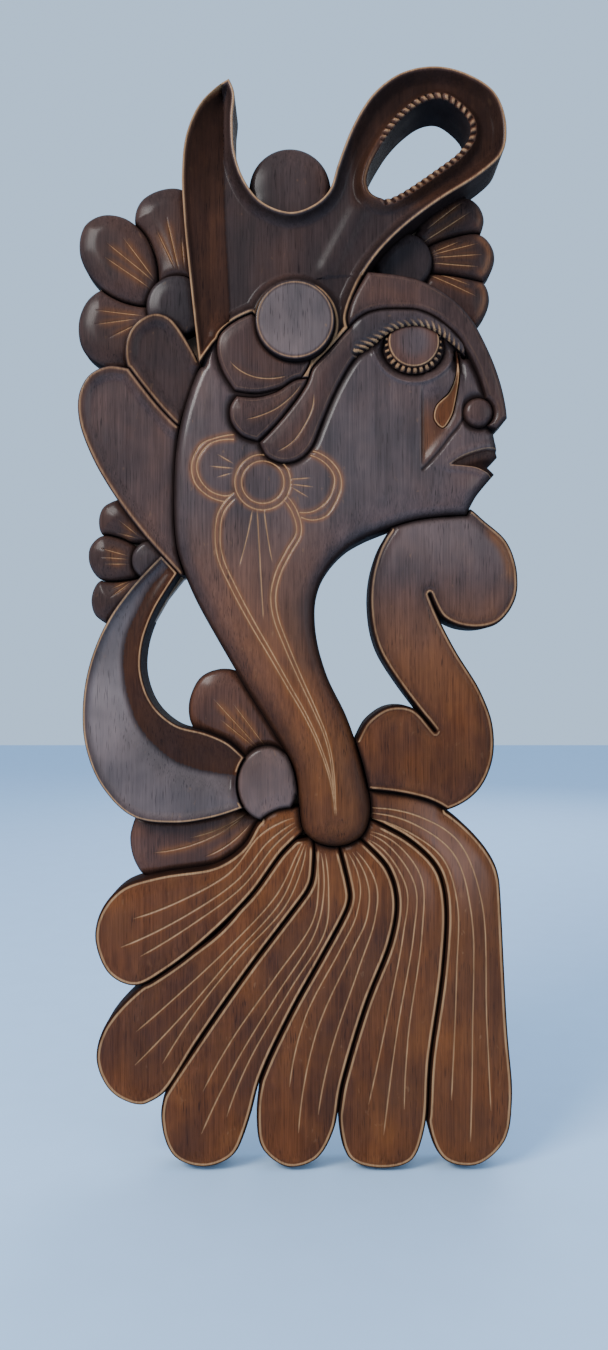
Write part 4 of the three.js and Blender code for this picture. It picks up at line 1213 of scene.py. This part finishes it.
def make_brow_band():
    """The brow and the ridge of the nose: a rounded band, rubbed along its inner arris."""
    plan = Plan("brow_band")
    plan.edge(width=3.4, depth=3.6)
    plan.h -= 1.2 * (1 - smooth(plan.own / 8))
    plan.tuck(width=2.0, depth=1.0)
    plan.rim(at=3.4, width=1.0, strength=0.24)
    plan.darken(0.3)
    plan.warm[:] = 0.35
    return dark_piece(plan)


def make_nostril():
    """A round button: a dome with a fine arris round its crown."""
    plan = Plan("nostril")
    plan.edge(width=4.6, depth=5.0)
    plan.h -= 1.2 * (1 - smooth(plan.own / 9))
    plan.tuck(width=1.6, depth=0.8)
    plan.rim(at=4.4, width=0.6, strength=0.22)
    plan.darken(0.15)
    plan.warm[:] = 0.35
    return dark_piece(plan)


def make_eye():
    """A flat disc in a ring of lashes: pointed bars that fan out from it and slope down, the longest
    of them below it."""
    centre = np.array(EYE_CENTRE)
    disc_edge = circle(centre, EYE_DISC_RADIUS)
    plan = Plan("eye", [(disc_edge, 0.8)], [(circle(centre, EYE_DISC_RADIUS + 3), 4.2)])
    away = plan.p - centre
    radius = np.hypot(*away.T)
    past_disc = radius - EYE_DISC_RADIUS
    turn = np.arctan2(away[:, 1], away[:, 0])
    reach = LASH_LENGTHS[0] + LASH_LENGTHS[1] * np.clip(-np.sin(turn), 0, 1)
    out = past_disc / reach
    bar = smooth(0.9 + 1.6 * np.cos(turn * sizes().lashes) - 1.5 * np.clip(out, 0, 2) ** 2)
    bar *= 1 - smooth((out - 0.9) / 0.25)
    lash = smooth((past_disc - 0.6) / 0.8)
    plan.h -= 0.9 * bell(past_disc - 0.9, 0.7)
    plan.h -= lash * (1.6 + 1.6 * smooth(past_disc / 6) + 1.5 * (1 - bar))
    plan.h -= 0.6 * (radius / EYE_DISC_RADIUS) ** 2 * (1 - lash)
    plan.tuck(width=1.2, depth=0.6, dark=0.6)
    plan.worn = np.maximum(0.75 * bell(past_disc + 0.2, 0.6), 0.62 * lash * bar)
    plan.worn *= 1 - 0.7 * bell(plan.under, 0.9)
    # Painted shade in the gaps between the lashes and in the groove round the disc.
    plan.darken(0.85 * lash * (1 - bar))
    plan.darken(0.7 * bell(past_disc - 1.2, 0.7))
    plan.warm = 0.1 + 0.35 * (1 - lash) * smooth((radius - 6) / 10)
    return dark_piece(plan)


def make_tear():
    """A drop with a rubbed arris all round and a reddish dished face."""
    plan = Plan("tear")
    plan.edge(width=0.9, depth=0.8)
    plan.h -= 1.8 + 0.5 * smooth((plan.own - 1.3) / 3)
    plan.rim(at=1.0, width=0.5, strength=0.8)
    plan.warm[:] = 1.0
    return dark_piece(plan, warm_sides=0.5)


def cheek_flower():
    """The paths of the flower cut into the cheek: its rings and petals, its stems and its rays. Each
    stem is a pair of lines that draw together downwards."""
    rings = [circle(CHEEK_FLOWER_CENTRE, radius) for radius in CHEEK_FLOWER_RADII]
    petals = [curve(points) for points in CHEEK_FLOWER_LINES]
    stems = []
    for points, side in zip(STEM_LINES, (1, -1)):
        line = curve(points)
        fade = 1 - 0.7 * smooth(np.linspace(-0.4, 1, len(line)))[:, None]
        stems += [line, line + (beside(line, side * STEM_LINE_PAIR) - line) * fade]
    return [*rings, *petals], stems, [curve(points) for points in CHEEK_RAYS]


def sink_socket(plan):
    """Sinks the ring round the eye below its middle and paints shade in it, and raises the lower lid round it
    with a faint painted highlight along its ridge.
    """
    radius = np.hypot(*(plan.p - np.array(EYE_CENTRE)).T)
    beneath = smooth((-62 - plan.z) / 10)
    plan.h -= 5.5 * (1 - smooth((radius - SOCKET_RADIUS) / 8)) * beneath
    plan.h += 1.3 * bell(radius - LOWER_LID_RADIUS, 1.4) * beneath
    # A faint light line along the lower lid's ridge: a painted highlight.
    plan.rub(0.2 * bell(radius - LOWER_LID_RADIUS, 0.8) * beneath * smooth((105 - plan.x) / 8))
    # Painted shade in the sunk ring.
    plan.darken(0.35 * (1 - smooth((radius - SOCKET_RADIUS - 1) / 6)) * beneath)


def hollow_cheek(plan, fold):
    """Hollows the cheek between its upright arris and the fold of the nose, cuts the fold, and lifts
    the wing of the nose beyond it. Gives back how far each point lies in the hollow, from 0 to 1."""
    x, z = plan.x, plan.z
    to_fold = np.interp(z, fold[::-1, 1], fold[::-1, 0]) - x
    hollow = smooth((x - CHEEK_X) / 2.0) * smooth((to_fold + 1) / 14.0)
    hollow = hollow * smooth((-93 - z) / 16) * smooth((z + 162) / 10)
    plan.h -= 3.2 * hollow * (1 - 0.45 * smooth((x - CHEEK_X) / 26))
    plan.rub(0.22 * bell(x - 84.2, 0.8) * smooth((-110 - z) / 10) * smooth((z + 159) / 8))
    folded = Nearest(plan.p, segments([fold])).distance
    plan.h -= 1.2 * bell(folded, 1.3)
    # Painted shade in the fold of the nose.
    plan.darken(0.75 * bell(folded, 1.4))
    wing = smooth(-to_fold / 3) * smooth((z + 160) / 6) * smooth((-112 - z) / 6) * smooth((x - 88) / 4)
    plan.h += 0.6 * wing
    return hollow


def part_lips(plan, upper, lower):
    """Opens the mouth between the lips' lines, swells the lips round it, and rounds the chin. Gives
    back how far each point lies in the opening, from 0 to 1."""
    x, z = plan.x, plan.z
    above = np.interp(x, upper[:, 0], upper[:, 1])
    under = np.interp(x, lower[:, 0], lower[:, 1])
    mouth = smooth((x - MOUTH_X) / 5) * smooth((above - z) / 1.6) * smooth((z - under) / 1.6)
    plan.h -= 4.5 * mouth
    # Painted shade in the mouth's opening, darker away from the upper lip's line.
    plan.darken(mouth * (0.35 + 0.5 * smooth((above - z - 4) / 5)))
    to_lips = Nearest(plan.p, segments([upper, lower])).distance
    plan.h += 1.0 * bell(to_lips - 2.5, 2.4) * (1 - mouth) * smooth((x - 98) / 8)
    plan.rub(0.45 * bell(to_lips, 0.7))
    plan.h += 1.6 * bell(np.hypot(x - CHIN[0], z - CHIN[1]), 9)
    return mouth


def make_head():
    """The head and neck: a broad round-edged face. The eye lies in a round socket with a raised lower
    lid, the cheek is hollowed between an upright arris and the fold of the nose, the lips part over a
    dark opening, and a flower with two long stems is cut into the cheek and neck."""
    size = sizes()
    width, depth = size.line_width, size.line_depth
    fold, upper, lower = curve(NOSE_FOLD), curve(UPPER_LIP), curve(LOWER_LIP)
    flower, stems, rays = cheek_flower()
    socket = circle(EYE_CENTRE, LOWER_LID_RADIUS)
    arris = curve([(CHEEK_X, end) for end in CHEEK_ENDS])
    lines = [(path, width) for path in (*flower, *stems, *rays)]
    lines += [(path, 0.9) for path in (fold, upper, lower, socket)]
    plan = Plan("head", [*lines, (arris, 0.8)], inlaid=("eye", "tear"))
    x, z = plan.x, plan.z
    neck = smooth((NECK_TOP - z) / 60)
    plan.edge(width=size.head_edge, depth=8.5)
    plan.h -= (2.0 + 2.5 * neck) * (1 - smooth(plan.own / 26))
    off_tear = np.clip(smooth((90 - x) / 4) + smooth((x - 113) / 4) + smooth((z + 90) / 6), 0, 1)
    tuck_width = 3.2 - 1.6 * (1 - off_tear)
    plan.tuck(width=tuck_width, depth=0.4 + 1.8 * off_tear, dark=0.35 + 0.6 * off_tear)
    sink_socket(plan)
    hollow = hollow_cheek(plan, fold)
    mouth = part_lips(plan, upper, lower)
    plan.groove(flower, width=width, depth=depth, worn=0.9, glow=0.62, spread=2.4, taper=0)
    plan.groove(stems, width=width, depth=depth, worn=0.9, glow=0.6, spread=2.6)
    plan.groove(rays, width=width, depth=depth, worn=0.75, glow=0.2, spread=1.6)
    tinted = hollow * smooth((-98 - z) / 30)
    neck_warm = smooth((NECK_WARM_TOP - z) / 190)
    plan.warm = np.clip(0.14 + 0.8 * neck_warm + 0.62 * tinted + 0.4 * mouth, 0, 1)
    # Painted shade on the neck's rounded sides; down its middle the stain is lighter and warmer.
    plan.darken(0.38 * neck * (1 - smooth((plan.own - 3) / 13)))
    plan.thin(0.22 * neck * smooth((plan.own - 6) / 8))
    plan.thin(0.2 * tinted * bell(x - 86, 6))
    # Painted shade over the far part of the cheek's hollow.
    plan.darken(0.42 * hollow * smooth((x - 88) / 10))
    # Painted sheen of reflected light over the lower face.
    plan.painted_sheen = 0.1 * bell(np.hypot((x - 30) / 60, (z + 150) / 60), 1.0) * smooth(plan.own / 12)
    return dark_piece(plan, warm_sides=0.4)


def make_leaf(name):
    """A dished leaf with a broad rubbed rim."""
    plan = Plan(name)
    plan.edge(width=1.6, depth=1.6)
    plan.h -= sizes().leaf_dish * smooth((plan.own - 2.8) / 9)
    plan.h -= 0.5 * bell(plan.own - 3.6, 0.8)
    plan.tuck(width=2.6, depth=1.2)
    # Painted shade in the groove inside the rim.
    plan.darken(0.4 * bell(plan.own - 4.0, 1.2))
    plan.darken(0.42 if name == "leaf_upper" else 0.12)
    plan.rim(at=1.8, width=1.0, strength=0.48)
    plan.glow = 0.3 * bell(plan.own - 2.2, 1.6)
    plan.warm[:] = 0.28
    return dark_piece(plan, warm_sides=0.3)


# How dark and how warm the petals of each flower are stained.
PETAL_STAINS = {"left": (0.42, 0.3), "right": (0.55, 0.3), "side": (0.42, 0.3), "low": (0.06, 0.55)}


def make_petal(name):
    """A swelling flower petal, its rays cut from the boss outwards and the stain rubbed thin between
    them."""
    size = sizes()
    paths = [curve(points) for points in PETAL_RAYS[name]]
    plan = Plan(name, [(path, size.line_width) for path in paths])
    plan.edge(width=3.6, depth=4.0)
    plan.h -= size.petal_dome * (1 - np.sin(0.5 * math.pi * np.clip(plan.own / 16, 0, 1)))
    plan.tuck(width=2.6, depth=1.5)
    width, depth = 0.8 * size.line_width, 0.9 * size.line_depth
    plan.groove(paths, width=width, depth=depth, worn=0.7, glow=0.65, spread=3.2, taper=10)
    dark, plan.warm[:] = PETAL_STAINS[name.split("_")[1]]
    plan.darken(dark)
    if "right" in name:
        tip = smooth((plan.x - 124) / 10) * bell(plan.own - 5, 3.0)
        plan.thin(0.7 * tip)
        plan.deep *= 1 - 0.6 * tip
    return dark_piece(plan, warm_sides=0.1)


def make_boss(name):
    """A flat-domed boss at the heart of a flower."""
    plan = Plan(name)
    plan.edge(width=3.8, depth=4.2)
    plan.h -= 1.6 * (1 - smooth(plan.own / 13))
    plan.tuck(width=2.4, depth=1.2)
    low = name == "flower_low_boss"
    dark = {"flower_low_boss": 0.0, "flower_right_boss": 0.6}
    plan.darken(dark.get(name, 0.4))
    plan.warm[:] = 0.5 if low else 0.05
    # Painted sheen on the low flower's boss.
    plan.painted_sheen[:] = 0.22 if low else 0.0
    return dark_piece(plan)


def make_crescent():
    """A crescent in two faces: a broad dished outer one, and inside the crease a hollowed strip. Its
    rim isn't rubbed where it ends at the low flower's boss."""
    crease = curve(CRESCENT_CREASE)
    plan = Plan("crescent", [(crease, 1.1)])
    x, z = plan.x, plan.z
    found = Nearest(plan.p, segments([crease]))
    inner = found.side > 0
    share = plan.own / np.maximum(plan.own + found.distance, 0.1)
    deepest = 5.5 * smooth(plan.own / 4)
    cove = deepest * np.sin(0.5 * math.pi * np.clip(share, 0, 1)) ** 0.9
    dish = 1.4 * smooth((plan.own - 1.5) / 6)
    plan.h -= np.where(inner, cove, dish + (deepest - dish) * bell(found.distance, 10.0))
    plan.edge(width=1.3, depth=1.4)
    plan.tuck(width=2.4, depth=1.2)
    # Painted shade along the crease, in the hollowed strip and in the corner by the boss.
    plan.darken(0.5 * bell(found.distance, 1.8))
    plan.darken(np.where(inner, 0.55 * smooth(plan.own / 3), 0))
    plan.darken(0.5 * bell(np.hypot(x + 48, z + 384), 11))
    plan.rim(at=1.3, width=0.65, strength=0.75)
    at_boss = smooth((x + 54) / 2) * smooth((-377 - z) / 2) * smooth((z + 401) / 2)
    plan.worn *= 1 - at_boss
    plan.warm = np.where(inner, 0.75, 0.12)
    # Painted sheen of reflected light on the outer face, strongest round its middle height.
    sheen = 0.22 + 0.36 * bell(z + 305, 55)
    plan.painted_sheen = np.where(inner, 0, sheen * smooth((plan.own - 2) / 5) * smooth(found.distance / 5))
    plan.painted_sheen *= smooth((-225 - z) / 40)
    return dark_piece(plan, warm_sides=0.15)


def make_scroll():
    """The scroll: a nearly flat face with a rubbed arris set in from its edge and a steep slope outside it,
    painted dark as shade."""
    plan = Plan("scroll")
    x, z = plan.x, plan.z
    slope = 2.2
    plan.edge(width=slope, depth=6.0)
    plan.h -= 0.9 * (1 - smooth(plan.own / 16))
    plan.h -= 0.7 * bell(plan.own - slope - 1.9, 0.9)
    plan.tuck(width=2.6, depth=1.4)
    # Painted shade on the steep slope outside the arris.
    plan.darken(0.95 * (1 - smooth((plan.own - slope + 0.9) / 0.7)))
    plan.rim(at=slope + 0.4, width=0.6, strength=0.75)
    # Darker towards the bottom and just inside the arris.
    plan.darken(0.22 * smooth((-320 - z) / 60))
    plan.darken(0.3 * (1 - smooth((plan.own - slope - 1) / 9)))
    # Painted sheen on the upper part of the face.
    plan.painted_sheen = 0.15 * (1 - smooth((-200 - z) / 50)) * smooth((plan.own - 5) / 6)
    plan.warm = 0.22 + 0.68 * smooth((-225 - z) / 110)
    # The stain is thin inside the rim on the right; the stem's lighter tone is a painted highlight along its
    # ridge.
    right = smooth((x - 128) / 12) * smooth((z + 245) / 15)
    stem = smooth((-230 - z) / 40) * smooth((z + 345) / 40)
    plan.glow = np.maximum(0.75 * right * bell(plan.own - 5.5, 4.0), 0.25 * stem)
    return dark_piece(plan, warm_sides=0.2)


def make_skirt_petal(name):
    """One petal of the skirt: a border line inside a slope painted dark as shade, and three lines that fan
    out from the neck."""
    size = sizes()
    paths = [curve(points) for points in SKIRT_LINES[name]]
    plan = Plan(name, [(path, size.line_width) for path in paths])
    plan.edge(width=size.skirt_edge, depth=4.6)
    plan.h -= 1.1 * (1 - smooth(plan.own / 14))
    border = size.skirt_border
    plan.h -= 0.4 * bell(plan.own - border - 1.0, 0.7)
    plan.tuck(width=3.0, depth=2.0)
    # Painted shade on the slope outside the border line.
    plan.darken(0.85 * (1 - smooth((plan.own - border + 1.3) / 1.0)))
    plan.rim(at=border, width=0.72, strength=0.95)
    to_neck = np.hypot(plan.x - NECK_FOOT[0], plan.z - NECK_FOOT[1])
    plan.worn *= smooth((to_neck - NECK_FOOT_RADIUS) / 6)
    width, depth = 1.1 * size.line_width, size.line_depth
    plan.groove(paths, width=width, depth=depth, worn=0.95, glow=0.2, spread=2.0, taper=10)
    plan.warm[:] = 0.95
    plan.thin(0.16 * smooth((plan.x - 10) / 80))
    # Painted sheen on the upper right of the skirt.
    far_right = smooth((plan.z + 500) / 60) * smooth((plan.x - 60) / 40)
    plan.painted_sheen = 0.2 * far_right * smooth((plan.own - 5) / 6)
    return body(plan, stain(WARM), warm_sides=0.6)


def finish_hardware():
    """Gives the backer, its block, the hanger plate, the screws and the dowels their finishes."""
    finish = bpy.context.scene.carving_finish
    backer = plain_wood("backer_wood_finish", tuple(finish.backer), tuple(0.6 * c for c in finish.backer))
    dowel = plain_wood("dowel_wood_finish", tuple(finish.dowel), tuple(0.75 * c for c in finish.dowel), 0.5)
    steel = plated_steel("plated_steel_finish", tuple(finish.steel))
    for name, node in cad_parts.items():
        if name in ("backer", "hanger_block"):
            node.data.materials[0] = backer
        elif name.startswith("hanger"):
            node.data.materials[0] = steel
        elif name.startswith("dowel"):
            node.data.materials[0] = dowel


# The stage is in metres.
FLOOR_SIZE = 9.0
FLOOR_GAP = 0.002
AIR_STRENGTH = 1.15
CAMERA_DISTANCE = 0.773
CAMERA_HEIGHT = -0.307
CAMERA_FIELD = math.radians(67.3)


def add_light(name, place, target, size, power, tint):
    """A square soft light aimed from place at target, its power in watts."""
    light = bpy.data.lights.new(name, "AREA")
    light.shape = "SQUARE"
    light.size = size
    light.energy = power
    light.color = tint
    lamp = bpy.data.objects.new(name, light)
    lamp.location = place
    lamp.rotation_euler = (Vector(target) - Vector(place)).to_track_quat("-Z", "Y").to_euler()
    bpy.context.scene.collection.objects.link(lamp)


def make_stage():
    """A pale floor, pale air, one large soft light high on the left, a weak one on the right, and the
    camera square in front."""
    finish = bpy.context.scene.carving_finish
    low, high = CAD_BOX
    centre = (Vector(low) + Vector(high)) / 2
    ground = Vector(low).z - FLOOR_GAP
    half = FLOOR_SIZE / 2
    mesh = bpy.data.meshes.new("floor")
    mesh.from_pydata(
        [(-half, -half, ground), (half, -half, ground), (half, half, ground), (-half, half, ground)],
        [],
        [(0, 1, 2, 3)],
    )
    floor = bpy.data.objects.new("floor", mesh)
    bpy.context.scene.collection.objects.link(floor)
    paint = Paint("floor_finish")
    speck = paint.noise((30, 30, 30), detail=3, roughness=0.5)
    tint = tuple(finish.floor)
    colour = paint.mix(speck, tint, tuple(0.94 * part for part in tint))
    mesh.materials.append(paint.finish(colour, 0.8, specular_ior_level=0.2))
    world = bpy.data.worlds.new("air")
    world.use_nodes = True
    air = world.node_tree.nodes["Background"].inputs
    air["Color"].default_value = (*tint, 1)
    air["Strength"].default_value = AIR_STRENGTH
    bpy.context.scene.world = world
    add_light("key", (-1.1, -1.3, 0.9), centre, size=0.8, power=46, tint=(1, 0.98, 0.95))
    add_light("fill", (1.4, -1.4, 0.1), centre, size=1.2, power=7, tint=(0.92, 0.96, 1))
    add_light("back", (0.6, 1.8, 0.8), centre, size=1.4, power=16, tint=(1, 1, 1))
    camera = bpy.data.cameras.new("camera")
    camera.sensor_fit = "VERTICAL"
    camera.angle = CAMERA_FIELD
    camera.clip_start = 0.01
    view = bpy.data.objects.new("camera", camera)
    view.location = (0, -CAMERA_DISTANCE, CAMERA_HEIGHT)
    view.rotation_euler = (math.radians(90), 0, 0)
    bpy.context.scene.collection.objects.link(view)
    bpy.context.scene.camera = view


# ---- Operators ----------------------------------------------------------------------------------


class CARVING_OT_crest(bpy.types.Operator):
    """Carves the crest with its horn and its pierced loop"""

    bl_idname = "carving.crest"
    bl_label = "Crest"

    def execute(self, context):
        make_crest()
        return {"FINISHED"}


class CARVING_OT_ear_disc(bpy.types.Operator):
    """Carves the flat disc at the ear"""

    bl_idname = "carving.ear_disc"
    bl_label = "Ear disc"

    def execute(self, context):
        make_ear_disc()
        return {"FINISHED"}


class CARVING_OT_crown_ball(bpy.types.Operator):
    """Carves the ball between horn and loop"""

    bl_idname = "carving.crown_ball"
    bl_label = "Crown ball"

    def execute(self, context):
        make_crown_ball()
        return {"FINISHED"}


class CARVING_OT_hair(bpy.types.Operator):
    """Carves the three locks and the upper lid"""

    bl_idname = "carving.hair"
    bl_label = "Hair"

    def execute(self, context):
        for name in TUFTS:
            make_tuft(name)
        return {"FINISHED"}


class CARVING_OT_brow_band(bpy.types.Operator):
    """Carves the band of brow and nose"""

    bl_idname = "carving.brow_band"
    bl_label = "Brow and nose"

    def execute(self, context):
        make_brow_band()
        return {"FINISHED"}


class CARVING_OT_nostril(bpy.types.Operator):
    """Carves the nostril's button"""

    bl_idname = "carving.nostril"
    bl_label = "Nostril"

    def execute(self, context):
        make_nostril()
        return {"FINISHED"}


class CARVING_OT_eye(bpy.types.Operator):
    """Carves the eye and its lashes"""

    bl_idname = "carving.eye"
    bl_label = "Eye"

    def execute(self, context):
        make_eye()
        return {"FINISHED"}


class CARVING_OT_tear(bpy.types.Operator):
    """Carves the drop beside the nose"""

    bl_idname = "carving.tear"
    bl_label = "Tear"

    def execute(self, context):
        make_tear()
        return {"FINISHED"}


class CARVING_OT_head(bpy.types.Operator):
    """Carves the face, the neck and the flower cut into them"""

    bl_idname = "carving.head"
    bl_label = "Head and neck"

    def execute(self, context):
        make_head()
        return {"FINISHED"}


class CARVING_OT_leaves(bpy.types.Operator):
    """Carves the two leaves"""

    bl_idname = "carving.leaves"
    bl_label = "Leaves"

    def execute(self, context):
        for name in LEAVES:
            make_leaf(name)
        return {"FINISHED"}


class CARVING_OT_petals(bpy.types.Operator):
    """Carves the petals of the four flowers"""

    bl_idname = "carving.petals"
    bl_label = "Flower petals"

    def execute(self, context):
        for name in PETALS:
            make_petal(name)
        return {"FINISHED"}


class CARVING_OT_bosses(bpy.types.Operator):
    """Carves the hearts of the four flowers"""

    bl_idname = "carving.bosses"
    bl_label = "Flower bosses"

    def execute(self, context):
        for name in BOSSES:
            make_boss(name)
        return {"FINISHED"}


class CARVING_OT_crescent(bpy.types.Operator):
    """Carves the crescent beside the neck"""

    bl_idname = "carving.crescent"
    bl_label = "Crescent"

    def execute(self, context):
        make_crescent()
        return {"FINISHED"}


class CARVING_OT_scroll(bpy.types.Operator):
    """Carves the scroll between chin and skirt"""

    bl_idname = "carving.scroll"
    bl_label = "Scroll"

    def execute(self, context):
        make_scroll()
        return {"FINISHED"}


class CARVING_OT_skirt(bpy.types.Operator):
    """Carves the six petals of the skirt"""

    bl_idname = "carving.skirt"
    bl_label = "Skirt"

    def execute(self, context):
        for name in SKIRT:
            make_skirt_petal(name)
        return {"FINISHED"}


class CARVING_OT_hardware(bpy.types.Operator):
    """Finishes the backer, its block, the hanger, its screws and the dowels"""

    bl_idname = "carving.hardware"
    bl_label = "Backer and hanger"

    def execute(self, context):
        finish_hardware()
        return {"FINISHED"}


class CARVING_OT_stage(bpy.types.Operator):
    """Adds the floor, the lights and the camera"""

    bl_idname = "carving.stage"
    bl_label = "Stage"

    def execute(self, context):
        make_stage()
        return {"FINISHED"}


STEPS = [
    CARVING_OT_crest,
    CARVING_OT_ear_disc,
    CARVING_OT_crown_ball,
    CARVING_OT_hair,
    CARVING_OT_brow_band,
    CARVING_OT_nostril,
    CARVING_OT_eye,
    CARVING_OT_tear,
    CARVING_OT_head,
    CARVING_OT_leaves,
    CARVING_OT_petals,
    CARVING_OT_bosses,
    CARVING_OT_crescent,
    CARVING_OT_scroll,
    CARVING_OT_skirt,
    CARVING_OT_hardware,
    CARVING_OT_stage,
]


class CARVING_PT_steps(bpy.types.Panel):
    """Lists the steps that build the carving."""

    bl_idname = "CARVING_PT_steps"
    bl_label = "Carved head relief"
    bl_space_type = "VIEW_3D"
    bl_region_type = "UI"
    bl_category = "Carving"

    def draw(self, context):
        for step in STEPS:
            self.layout.operator(step.bl_idname)
        for group in (context.scene.carving_sizes, context.scene.carving_finish):
            for name in group.__annotations__:
                self.layout.prop(group, name)


CLASSES = [CarvingSizes, CarvingFinish, *STEPS, CARVING_PT_steps]


def register():
    """Registers the classes and hangs the two groups of settings on the scene."""
    for cls in CLASSES:
        bpy.utils.register_class(cls)
    bpy.types.Scene.carving_sizes = bpy.props.PointerProperty(type=CarvingSizes)
    bpy.types.Scene.carving_finish = bpy.props.PointerProperty(type=CarvingFinish)


def unregister():
    """Takes the settings off the scene and unregisters the classes."""
    del bpy.types.Scene.carving_finish
    del bpy.types.Scene.carving_sizes
    for cls in reversed(CLASSES):
        bpy.utils.unregister_class(cls)


def main():
    """Builds everything in order."""
    register()
    for step in STEPS:
        getattr(bpy.ops.carving, step.bl_idname.partition(".")[2])()


if __name__ == "__main__":
    main()
